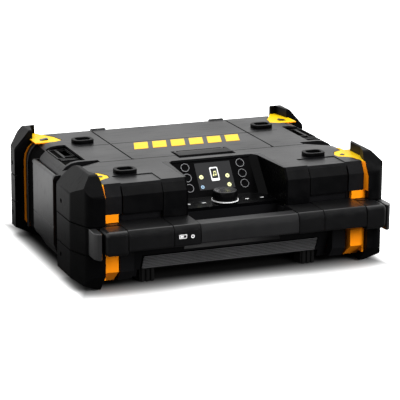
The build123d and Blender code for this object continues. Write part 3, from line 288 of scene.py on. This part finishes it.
def make_materials():
    """Every finish by its short name."""
    return {
        "deck": plastic("deck_plastic", (0.0045, 0.0045, 0.005), 0.33, specular=0.18),
        "latch": plastic("latch_plastic", (0.006, 0.006, 0.0065), 0.30, specular=0.5),
        # painted sheen: the guards' flares get a paler, glossier copy of the guard's plastic
        "flare": plastic("flare_painted_sheen", (0.016, 0.016, 0.0165), 0.34, specular=0.9),
        "shell": plastic("shell_plastic", (0.004, 0.004, 0.0045), 0.42, specular=0.3),
        "guard": plastic("guard_plastic", (0.0016, 0.0016, 0.0018), 0.42, specular=0.06,
                         bump=0.2, wear=0.005),
        "pod": plastic("pod_plastic", (0.0011, 0.0011, 0.0013), 0.30, specular=0.25,
                       bump=0.06, wear=0.004),
        "panel": plastic("panel_plastic", (0.0010, 0.0010, 0.0012), 0.24, specular=0.07,
                         bump=0.02, wear=0.0),
        "tab": plastic("tab_plastic", (0.002, 0.002, 0.0022), 0.34, specular=0.03, wear=0.0),
        "lens": plastic("lens_plastic", (0.020, 0.020, 0.021), 0.16, specular=0.3,
                        bump=0.01, wear=0.0),
        # painted highlight: the grille's black ribs are made pale so that they show as light lines
        "grille": plastic("grille_plastic", (0.070, 0.070, 0.072), 0.40, specular=0.4, wear=0.0),
        "bar": plastic("bar_plastic", (0.003, 0.003, 0.0033), 0.34, specular=0.4,
                       bump=0.1, wear=0.005),
        "grip": plastic("grip_plastic", (0.010, 0.010, 0.0105), 0.40, specular=0.45,
                        bump=0.2, wear=0.005),
        # the knob's paler top is painted light from above
        "knob": plastic("knob_plastic", (0.0016, 0.0016, 0.0018), 0.28, specular=0.4,
                        bump=0.03, wear=0.0, top=(0.015, 0.015, 0.016)),
        # the yellow's paler, more yellow top is painted light from above; the sides stay orange
        "yellow": plastic("yellow_plastic", (0.88, 0.25, 0.005), 0.38, specular=0.08,
                          spread=0.03, wear=0.0, top=(0.88, 0.55, 0.004)),
        "rubber": plastic("black_rubber", (0.006, 0.006, 0.006), 0.7, specular=0.15,
                          bump=0.4, wear=0.0),
        "screw": plastic("screw_steel", (0.05, 0.05, 0.052), 0.35, specular=0.6),
        "ring": plastic("ring_print", (0.15, 0.15, 0.155), 0.45, spread=0.08, wear=0.0),
        "white": plastic("print_white", (0.80, 0.80, 0.80), 0.5, spread=0.05, wear=0.0),
        "lemon": plastic("print_lemon", (0.85, 0.85, 0.42), 0.5, spread=0.08, wear=0.0),
        "sky": plastic("print_sky", (0.30, 0.45, 0.60), 0.5, spread=0.08, wear=0.0),
        # black for the joints, and painted shade in the side channels, the catch floors, behind the
        # grille and in the tab's strike
        "void": plastic("black_joints_and_painted_shade", (0.0008, 0.0008, 0.0008), 0.8, specular=0.02,
                        bump=0.3, wear=0.0),
    }


# finishes by how a node's name starts; the longest match counts, and all others are "shell"
MATERIAL_OF = {
    # latch_strike is painted black: painted shade of the finger gap in front of the lid's tab
    "top_shell": "deck", "compartment_lid": "deck", "lid_latch": "tab", "latch_strike": "void",
    "side_catch": "shell", "feet": "rubber", "lid_seal": "rubber",
    "control_housing": "panel", "display_lens": "lens", "knob_ring": "panel", "key": "panel",
    "pod": "pod", "bar_grip": "grip", "bar_cover": "bar", "guard": "guard",
    "corner_band": "yellow", "lower_shell": "shell", "side_latch": "latch",
}


def best_match(name, table, otherwise=None):
    """The entry of a table whose key is the longest that a name starts with."""
    keys = [key for key in table if name.startswith(key)]
    return table[max(keys, key=len)] if keys else otherwise


def dress_nodes():
    """Gives each node of the part its finish."""
    for name, obj in NODES.items():
        for slot in obj.material_slots:
            slot.material = MATS[best_match(name, MATERIAL_OF, "shell")]


# ---------------------------------------------------------------- edges of the moulded pieces
# widths of the bevels in millimetres, by how a node's name starts
EDGE_R = {
    "guard": 1.2, "bar": 0.6, "corner_band": 0.5, "top_shell": 0.6, "lower_shell": 0.8,
    "side_latch": 0.8, "compartment_lid": 0.5, "lid_latch": 0.6, "pod": 0.5,
    "control_housing": 0.5, "key": 0.4, "side_catch": 0.25, "feet": 0.6,
}
# the bar's long edges: bevel in millimetres and steps, and from which angle and length in metres
BAR_EDGE_R, BAR_EDGE_STEPS, BAR_EDGE_TURN, BAR_EDGE_LENGTH = 6.0, 5, 0.6, 0.012


def mesh_group(name):
    """A new node group for a mesh, with the sockets of its way in and its way out."""
    group = bpy.data.node_groups.new(name, "GeometryNodeTree")
    group.interface.new_socket("Geometry", in_out="INPUT", socket_type="NodeSocketGeometry")
    group.interface.new_socket("Geometry", in_out="OUTPUT", socket_type="NodeSocketGeometry")
    start = group.nodes.new("NodeGroupInput").outputs[0]
    return group, start, group.nodes.new("NodeGroupOutput").inputs[0]


def smooth_shading():
    """A node group that shades its mesh smooth."""
    group, start, end = mesh_group("smooth_shading")
    shade = group.nodes.new("GeometryNodeSetShadeSmooth")
    group.links.new(start, shade.inputs["Geometry"])
    group.links.new(shade.outputs[0], end)
    return group


def marked_edges(axis):
    """A node group that gives the long sharp edges along an axis a bevel weight."""
    group, start, end = mesh_group("marked_edges")
    link = group.links.new
    ends = group.nodes.new("GeometryNodeInputMeshEdgeVertices")
    run = group.nodes.new("ShaderNodeVectorMath")
    run.operation = "SUBTRACT"
    link(ends.outputs["Position 1"], run.inputs[0])
    link(ends.outputs["Position 2"], run.inputs[1])
    size = group.nodes.new("ShaderNodeVectorMath")
    size.operation = "LENGTH"
    link(run.outputs["Vector"], size.inputs[0])
    length = size.outputs["Value"]
    reach = maths(group, "ABSOLUTE", along(group, run.outputs["Vector"], axis), 0)
    turn = group.nodes.new("GeometryNodeInputMeshEdgeAngle").outputs["Unsigned Angle"]
    aligned = maths(group, "GREATER_THAN", reach, maths(group, "MULTIPLY", length, 0.98))
    long = maths(group, "GREATER_THAN", length, BAR_EDGE_LENGTH)
    sharp = maths(group, "GREATER_THAN", turn, BAR_EDGE_TURN)
    store = group.nodes.new("GeometryNodeStoreNamedAttribute")
    store.data_type, store.domain = "FLOAT", "EDGE"
    store.inputs["Name"].default_value = "bevel_weight_edge"
    link(maths(group, "MULTIPLY", maths(group, "MULTIPLY", aligned, long), sharp),
         store.inputs["Value"])
    link(start, store.inputs["Geometry"])
    link(store.outputs[0], end)
    return group


def round_edges(obj, radius):
    """Rounds the sharp edges of a piece and shades it smooth, its flats staying flat. The bar's
    long edges are rounded more."""
    weld = obj.modifiers.new("weld", "WELD")
    weld.merge_threshold = 0.01 * MM
    flats = obj.modifiers.new("flats", "DECIMATE")
    flats.decimate_type = "DISSOLVE"
    flats.angle_limit = math.radians(0.5)
    if obj.name.startswith("bar_"):
        mark = obj.modifiers.new("mark", "NODES")
        mark.node_group = LENGTHWISE
        bold = obj.modifiers.new("bold", "BEVEL")
        bold.width, bold.segments, bold.limit_method = BAR_EDGE_R * MM, BAR_EDGE_STEPS, "WEIGHT"
    shade = obj.modifiers.new("shade", "NODES")
    shade.node_group = SMOOTH
    edges = obj.modifiers.new("edges", "BEVEL")
    edges.width = radius * MM
    edges.segments = 2
    edges.limit_method = "ANGLE"
    edges.angle_limit = math.radians(32)
    edges.use_clamp_overlap = True
    edges.miter_outer = "MITER_ARC"
    normals = obj.modifiers.new("normals", "WEIGHTED_NORMAL")
    normals.mode = "FACE_AREA"
    normals.weight = 50


def soften_nodes():
    """Rounds the edges of the part's moulded nodes."""
    for name, obj in NODES.items():
        radius = best_match(name, EDGE_R)
        if radius:
            round_edges(obj, radius)


# ---------------------------------------------------------------- pieces
class Face:
    """A drawing plane: u to the right, v up the face, h out of it, all in millimetres."""

    def __init__(self, origin, up, right=(1, 0, 0)):
        self.origin = Vector(origin)
        self.right = Vector(right).normalized()
        self.up = Vector(up).normalized()
        self.out = self.right.cross(self.up)

    def at(self, u, v, h):
        return (self.origin + self.right * u + self.up * v + self.out * h) * MM


PANEL = Face((0, -58.95, 122.8), (0, 31.9, 43.2))
LEDGE = Face((0, -93.7, 99.7), (0, 37.6, 3.0))
DECK = Face((0, 0, 149.0), (0, 1, 0))
KNOB = Face(KNOB_AT, (0, 1, 0))
CATCH_TOP = Face((0, 0, 143.5), (0, 1, 0))
LEAN = Face((0, -112.5, 19.0), (0, -21.0, 47.0))
BAR_FRONT = Face((0, -188.0, 0), (0, 0, 1))


def piece(name, build, mat, body, smooth=False):
    """A new object whose mesh is made by build(bm)."""
    bm = bmesh.new()
    build(bm)
    bmesh.ops.remove_doubles(bm, verts=bm.verts, dist=1e-7)
    bmesh.ops.recalc_face_normals(bm, faces=bm.faces)
    mesh = bpy.data.meshes.new(name)
    bm.to_mesh(mesh)
    bm.free()
    for polygon in mesh.polygons:
        polygon.use_smooth = smooth
    mesh.materials.append(MATS[mat])
    obj = bpy.data.objects.new(name, mesh)
    bpy.context.scene.collection.objects.link(obj)
    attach(obj, body)
    if smooth:
        normals = obj.modifiers.new("normals", "WEIGHTED_NORMAL")
        normals.weight = 50
    return obj


def circle(centre, radius, steps):
    """Outline of a circle, or of a regular polygon."""
    u0, v0 = centre
    turns = [2 * math.pi * i / steps for i in range(steps)]
    return [(u0 + radius * math.cos(turn), v0 + radius * math.sin(turn)) for turn in turns]


def rounded(centre, width, height, radius, steps=6):
    """Outline of a rectangle with round corners."""
    u0, v0 = centre
    points = []
    for su, sv, start in ((1, 1, 0), (-1, 1, 90), (-1, -1, 180), (1, -1, 270)):
        for i in range(steps + 1):
            angle = math.radians(start + 90 * i / steps)
            points.append((u0 + su * (width / 2 - radius) + radius * math.cos(angle),
                           v0 + sv * (height / 2 - radius) + radius * math.sin(angle)))
    return points


def join_loops(bm, loops):
    """Walls between loops of vertices of the same length."""
    for low, high in zip(loops, loops[1:]):
        for i in range(len(low)):
            j = (i + 1) % len(low)
            bm.faces.new((low[i], low[j], high[j], high[i]))


def stack(bm, face, layers, close_low=True, close_high=True):
    """Walls through outlines of the same length, each layer an (outline, height) pair."""
    loops = [[bm.verts.new(face.at(u, v, h)) for u, v in outline] for outline, h in layers]
    join_loops(bm, loops)
    if close_low:
        bm.faces.new(loops[0])
    if close_high:
        bm.faces.new(loops[-1])


def turned(bm, face, centre, profile, steps=48, **ends):
    """A turned form through (radius, height) pairs."""
    stack(bm, face, [(circle(centre, radius, steps), h) for radius, h in profile], **ends)


def hollow(bm, face, inner, outer, low, high):
    """A flat frame between two outlines of the same length, standing on a face."""
    stack(bm, face, [(inner, low), (outer, low), (outer, high), (inner, high), (inner, low)],
          close_low=False, close_high=False)


def ring(bm, face, centre, inner, outer, low, high, steps=48):
    """A flat ring standing on a face."""
    hollow(bm, face, circle(centre, inner, steps), circle(centre, outer, steps), low, high)


def frame_sign(bm, face, centre, size, corner, wall, low, high):
    """A rounded frame with walls of one width."""
    inner = rounded(centre, size[0] - 2 * wall, size[1] - 2 * wall, corner / 2)
    hollow(bm, face, inner, rounded(centre, *size, corner), low, high)


def plate(bm, face, outline, low, high):
    """A flat plate with a given outline standing on a face."""
    stack(bm, face, [(outline, low), (outline, high)])


def add_buttons():
    """Round buttons with a soft edge, a dished face and a printed ring."""
    profile = [(BUTTON_R, -4.0), (BUTTON_R, 0.5), (BUTTON_R - 0.15, 0.8), (BUTTON_R - 0.5, 0.95),
               (4.6, 0.9), (3.0, 0.75), (0.2, 0.65)]
    for name, side in SIDES:
        for row, v in enumerate(BUTTON_V, start=1):
            spot, label = (side * BUTTON_U, v), f"button_{name}_{row}"
            cap = piece(f"{label}_cap", lambda bm: turned(bm, PANEL, spot, profile),
                        "panel", label, smooth=True)
            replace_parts(cap, label)
            piece(f"{label}_ring",
                  lambda bm: ring(bm, PANEL, spot, *BUTTON_RING_R, *BUTTON_RING_H),
                  "ring", label)


def add_key_marks():
    """A short printed bar on each key."""
    below, low, high = 1.8, 0.28, 0.38

    def build(bm):
        plate(bm, LEDGE, rounded((side * u, KEY_V - below), 5.6, 2.2, 1.0), low, high)

    for name, side in SIDES:
        for spot, u in KEY_U:
            piece(f"key_{name}_{spot}_mark", build, "white", f"key_{name}_{spot}")


def add_display_signs():
    """Plain signs on the display: a framed sign in the middle, and dots at its edges."""
    low, high = 0.02, 0.10

    def frame_form(bm):
        hollow(bm, PANEL, rounded((0.2, 7.3), 9.4, 15.0, 0.8), rounded((0.2, 6.4), 12.4, 21.0, 2.0),
               low, high)

    def lemon_form(bm):
        for spot in ((-20.6, 3.1), (18.8, 2.3), (18.8, -11.3)):
            ring(bm, PANEL, spot, 0.7, 3.1, low, high, 24)
        for u, v in ((-1.6, 4.4), (1.8, 4.9)):
            plate(bm, PANEL, circle((u, v), 1.2, 16), low, high)
            plate(bm, PANEL, rounded((u + 0.9, v + 2.6), 0.8, 5.2, 0.2), low, high)
        plate(bm, PANEL, [(-1.1, 8.8), (3.1, 9.3), (3.1, 10.9), (-1.1, 10.4)], low, high)

    def sky_form(bm):
        ring(bm, PANEL, (-21.6, -11.8), 1.1, 2.6, low, high, 24)

    piece("display_frame_sign", frame_form, "white", "housing")
    piece("display_lemon_signs", lemon_form, "lemon", "housing")
    piece("display_sky_sign", sky_form, "sky", "housing")


def add_knob():
    """The knob: fluted below, a smooth band above and a dished top."""
    steps, flutes, depth = 192, 32, 0.35
    # radius, height and share of the flutes' depth
    profile = [
        (KNOB_R - 1.4, -2.0, 0), (KNOB_R - 1.4, 0.4, 0), (KNOB_R - 0.3, 0.5, 0), (KNOB_R, 1.0, 1),
        (KNOB_R, KNOB_H - 5.4, 1), (KNOB_R - 0.5, KNOB_H - 4.9, 0),
        (KNOB_R - 0.2, KNOB_H - 4.5, 0), (KNOB_TOP_R + 0.3, KNOB_H - 1.2, 0),
        (KNOB_TOP_R, KNOB_H - 0.5, 0), (KNOB_TOP_R - 0.7, KNOB_H - 0.1, 0),
        (KNOB_TOP_R - 1.5, KNOB_H, 0), (KNOB_TOP_R - 2.3, KNOB_H - 0.3, 0),
        (10.0, KNOB_H - 0.8, 0), (4.0, KNOB_H - 1.0, 0), (0.3, KNOB_H - 1.0, 0)]

    def fluted(radius, share):
        points = []
        for i in range(steps):
            turn = 2 * math.pi * i / steps
            reach = radius - share * depth * (0.5 - 0.5 * math.cos(flutes * turn))
            points.append((reach * math.cos(turn), reach * math.sin(turn)))
        return points

    def build(bm):
        stack(bm, KNOB, [(fluted(radius, share), h) for radius, h, share in profile])
    cap = piece("knob_cap", build, "knob", "knob", smooth=True)
    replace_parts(cap, "knob")


def add_pegs():
    """Stacking pegs: oval collars with round edges."""
    corner, hollow_corner, edge = 9.0, 5.5, 0.9
    turns = [math.radians(30 * step) for step in range(4)]

    def build(bm):
        for _, side in SIDES:
            for x, y in PEG_AT:
                spot = (side * x, y)
                loops = [(rounded(spot, *PEG_HOLLOW, hollow_corner), 0.0),
                         (rounded(spot, *PEG_SIZE, corner), 0.0)]
                for turn in turns:
                    inset = edge * (1 - math.cos(turn))
                    outline = rounded(spot, PEG_SIZE[0] - 2 * inset, PEG_SIZE[1] - 2 * inset,
                                      corner - inset)
                    loops.append((outline, PEG_H - edge + edge * math.sin(turn)))
                for turn in turns:
                    grow = edge * (1 - math.sin(turn))
                    outline = rounded(spot, PEG_HOLLOW[0] + 2 * grow, PEG_HOLLOW[1] + 2 * grow,
                                      hollow_corner + grow)
                    loops.append((outline, PEG_H - edge + edge * math.cos(turn)))
                loops.append(loops[0])
                stack(bm, DECK, loops, close_low=False, close_high=False)
    pegs = piece("peg_collars", build, "guard", "housing", smooth=True)
    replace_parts(pegs, "stacking_pegs")


def socket_head(bm, face, centre, radius, height, socket_r):
    """A domed screw head with a six-sided socket."""
    steps, sixth = 36, math.pi / 3
    dome = [(radius, 0.0), (radius, height * 0.35), (radius * 0.93, height * 0.7),
            (radius * 0.78, height * 0.93), (radius * 0.62, height)]
    turned(bm, face, centre, dome, steps, close_high=False)
    rim = circle(centre, radius * 0.62, steps)
    hexagon = []
    for i in range(steps):
        turn = 2 * math.pi * i / steps
        reach = socket_r * math.cos(sixth / 2) / math.cos(turn % sixth - sixth / 2)
        hexagon.append((centre[0] + reach * math.cos(turn), centre[1] + reach * math.sin(turn)))
    stack(bm, face, [(rim, height), (hexagon, height), (hexagon, height * 0.35)], close_low=False)


def add_screws():
    """Screw heads with sockets on the deck pads and in the guards' sides."""
    def deck_form(bm):
        for _, side in SIDES:
            for x, y in DECK_SCREW_AT:
                face = Face((side * x, y, DECK_SCREW_Z), (0, 1, 0))
                socket_head(bm, face, (0, 0), *DECK_SCREW_HEAD)

    def guard_form(bm):
        for _, side in SIDES:
            for y, z in GUARD_SCREW_AT:
                face = Face((side * GUARD_SCREW_X, y, z), (0, 0, 1), (0, side, 0))
                socket_head(bm, face, (0, 0), *GUARD_SCREW_HEAD)

    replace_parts(piece("deck_screw_heads", deck_form, "screw", "housing",
                      smooth=True), "deck_screws")
    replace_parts(piece("guard_screw_heads", guard_form, "screw", "housing",
                      smooth=True), "guard_screws")


def add_knob_line():
    """A white line printed round the knob's collar."""
    piece("knob_line", lambda bm: ring(bm, KNOB, (0, 0), *KNOB_LINE_R, *KNOB_LINE_H),
          "white", "housing")


def add_seams():
    """Black joints: in the deck's grooves, round the lid and round its tab."""
    front, rear = GROOVES_Y

    def groove(bm, u, v, length):
        plate(bm, DECK, rounded((u, v), length, GROOVE_W, 0.2), -1.18, -0.25)

    def line(bm, u, v, width, height):
        plate(bm, DECK, rounded((u, v), width, height, 0.2), 0.01, 0.06)

    def housing_form(bm):
        for v in GROOVES_Y:
            for _, side in SIDES:
                groove(bm, side * 131.5, v, 48.5)
        groove(bm, 0, front, 214)
        for _, side in SIDES:
            line(bm, side * 107.6, 74.0, 2.0, 178.0)

    def lid_form(bm):
        groove(bm, 0, rear, 211)
        for _, side in SIDES:
            line(bm, side * 41.8, -4.2, 1.6, 20.0)
        line(bm, 0, 7.2, 84.0, 1.4)
    piece("deck_joints", housing_form, "void", "housing")
    piece("lid_joints", lid_form, "void", "lid")


def add_catch_frames():
    """Painted shade on the catches' sunk floors, as black plates, and raised frames in the catches
    on the shoulders.
    """
    def floor_shade(bm):
        for _, side in SIDES:
            hollow(bm, CATCH_TOP, rounded((side * 179.7, 69.5), 12.0, 35.0, 0.5),
                   rounded((side * 186.0, 50.5), 28.0, 93.0, 0.5), 0.02, 0.08)

    def frames(bm):
        for _, side in SIDES:
            frame_sign(bm, CATCH_TOP, (side * 180.3, 69.5), (16.4, 46.0), 1.5, 1.3, 0.0, 1.6)
            frame_sign(bm, CATCH_TOP, (side * 194.5, 64.0), (10.6, 52.0), 1.5, 1.2, 0.0, 1.6)
            for v in (28.0, 33.0):
                plate(bm, CATCH_TOP, rounded((side * 186.0, v), 24.0, 1.4, 0.5), 0.0, 1.4)
    # painted shade: the black plates darken the catches' sunk floors
    piece("catch_floor_shade", floor_shade, "void", "housing")
    piece("catch_frames", frames, "deck", "housing")


def wrap(bm, side, span, foot, flats, low, high):
    """A strap laid up a side wall and over its shoulder: span is its Y range, foot its lowest Z,
    flats the number of the shoulder's flats that it covers, low and high its two faces."""
    path = [(SHOULDER_X, foot, 0.0)]
    for k in range(flats + 1):
        turn = math.radians(90 * k / SHOULDER_FLATS)
        path.append((SHOULDER_X + SHOULDER_R * (math.cos(turn) - 1),
                     SHOULDER_Z + SHOULDER_R * (math.sin(turn) - 1), turn))
    loops = []
    for x, z, turn in path:
        out_x, out_z = math.cos(turn), math.sin(turn)
        corners = ((span[0], low), (span[1], low), (span[1], high), (span[0], high))
        loops.append([bm.verts.new(Vector((side * (x + h * out_x), y, z + h * out_z)) * MM)
                      for y, h in corners])
    join_loops(bm, loops)
    bm.faces.new(loops[0])
    bm.faces.new(loops[-1])


def add_side_channels():
    """Painted shade in the channels beside the side latches, as thin black plates on the walls,
    and a raised rim behind them.
    """
    channel_foot, channel_h, rim_foot, rim_h = 24.0, 0.3, 20.0, 2.2

    def channel_shade(bm):
        for _, side in SIDES:
            wrap(bm, side, (94.0, 134.0), channel_foot, 3, 0.0, channel_h)
            wrap(bm, side, (-50.0, -7.0), channel_foot, 1, 0.0, channel_h)

    def rims(bm):
        for _, side in SIDES:
            wrap(bm, side, (135.0, 143.0), rim_foot, SHOULDER_FLATS, 0.0, rim_h)
    # painted shade: black plates on the side walls where the channels lie in shadow
    piece("side_channel_shade", channel_shade, "void", "housing")
    rim = piece("side_rims", rims, "latch", "housing")
    edges = rim.modifiers.new("edges", "BEVEL")
    edges.width, edges.segments, edges.limit_method = 0.9 * MM, 3, "ANGLE"


def add_grille():
    """The low front grille: a black back, painted shade in its openings, and rounded ribs across
    it whose pale colour paints their highlights.
    """
    rise, count = 24.0, 8
    pitch = (rise - 1.6) / count
    # length, width, corner and height of a rib's layers
    rib = ((260, 1.7, 0.4, 0.4), (260, 1.5, 0.4, 1.1), (259, 0.9, 0.3, 1.55))

    def back(bm):
        plate(bm, LEAN, rounded((0, 0.6 + rise / 2), 264, rise, 1.0), 0.0, 0.5)

    def ribs(bm):
        for k in range(count):
            spot = (0, 1.4 + pitch * (k + 0.5))
            stack(bm, LEAN, [(rounded(spot, *size), h) for *size, h in rib])
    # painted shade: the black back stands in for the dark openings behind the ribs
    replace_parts(piece("grille_back_shade", back, "void", "housing"), "front_grille")
    piece("grille_ribs", ribs, "grille", "housing", smooth=True)


def add_bar_ends():
    """The bar's end caps, rounded off towards their outer side, with the arm behind each."""
    corner, edge, steps = 7.0, 6.0, 5
    width, height = CAP_SIZE

    def build(bm):
        face = Face((0, 0, 0), (0, 0, 1), (0, side, 0))
        centre = (side * CAP_AT[0], CAP_AT[1])
        layers = [(rounded(centre, width - 1.0, height - 1.0, corner - 0.5), CAP_X[0]),
                  (rounded(centre, width, height, corner), CAP_X[0] + 0.5)]
        for k in range(steps + 1):
            turn = math.radians(90 * k / steps)
            inset = edge * (1 - math.cos(turn))
            layers.append((rounded(centre, width - 2 * inset, height - 2 * inset, corner - inset),
                           CAP_X[1] - edge + edge * math.sin(turn)))
        stack(bm, face, layers)
        plate(bm, face, rounded((side * ARM_AT[0], ARM_AT[1]), *ARM_SIZE, 0.5), *ARM_X)

    for name, side in SIDES:
        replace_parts(piece("bar_cap_" + name, build, "bar", "housing",
                          smooth=True), "bar_end_" + name)


def add_flares():
    """The flares of the front guards beside the bar's ends, in a paler copy of the guard's
    plastic that paints their sheen.
    """
    ground = Face((0, 0, 0), (0, 1, 0))

    def build(bm):
        for _, side in SIDES:
            plate(bm, ground, [(side * x, y) for x, y in FLARE], *FLARE_Z)
    round_edges(piece("guard_flares", build, "flare", "housing"), 0.9)


def add_bar_signs():
    """Two plain signs on the bar's left cover: a small cell and a ring."""
    low, high = -0.1, 0.02

    def build(bm):
        frame_sign(bm, BAR_FRONT, (-98.0, 82.8), (11.0, 5.6), 0.8, 1.0, low, high)
        plate(bm, BAR_FRONT, rounded((-99.6, 82.8), 4.6, 2.4, 0.3), low, high)
        ring(bm, BAR_FRONT, (-84.2, 82.0), 1.2, 2.6, low, high, 24)
    piece("bar_signs", build, "white", "housing")


def add_lid_bars():
    """A plain row of slanted yellow bars let into the lid."""
    count, first, pitch, lean, half, span = 6, -69, 28.4, 6.0, 10.6, (38, 75)

    def build(bm):
        for k in range(count):
            u = first + pitch * k
            plate(bm, DECK, [(u - half - lean, span[0]), (u + half - lean, span[0]),
                             (u + half + lean, span[1]), (u - half + lean, span[1])], -0.2, 0.25)
    piece("lid_bars", build, "yellow", "lid")


make_camera()
make_world()
make_floor()
area_lamp("overhead", place=(0.1, 0.7, 2.4), target=(0, 0, 0.1), size=(2.4, 1.8), power=26)
area_lamp("front_fill", place=(1.1, -2.6, 1.3), target=(0, 0, 0.1), size=(1.6, 1.2), power=120,
          mirrored=False)
bpy.context.scene.view_settings.view_transform = "Standard"
MATS = make_materials()
SMOOTH = smooth_shading()
LENGTHWISE = marked_edges((1.0, 0.0, 0.0))
dress_nodes()
soften_nodes()
add_buttons()
add_key_marks()
add_display_signs()
add_knob()
add_pegs()
add_screws()
add_lid_bars()
add_knob_line()
add_seams()
add_catch_frames()
add_side_channels()
add_grille()
add_bar_ends()
add_flares()
add_bar_signs()
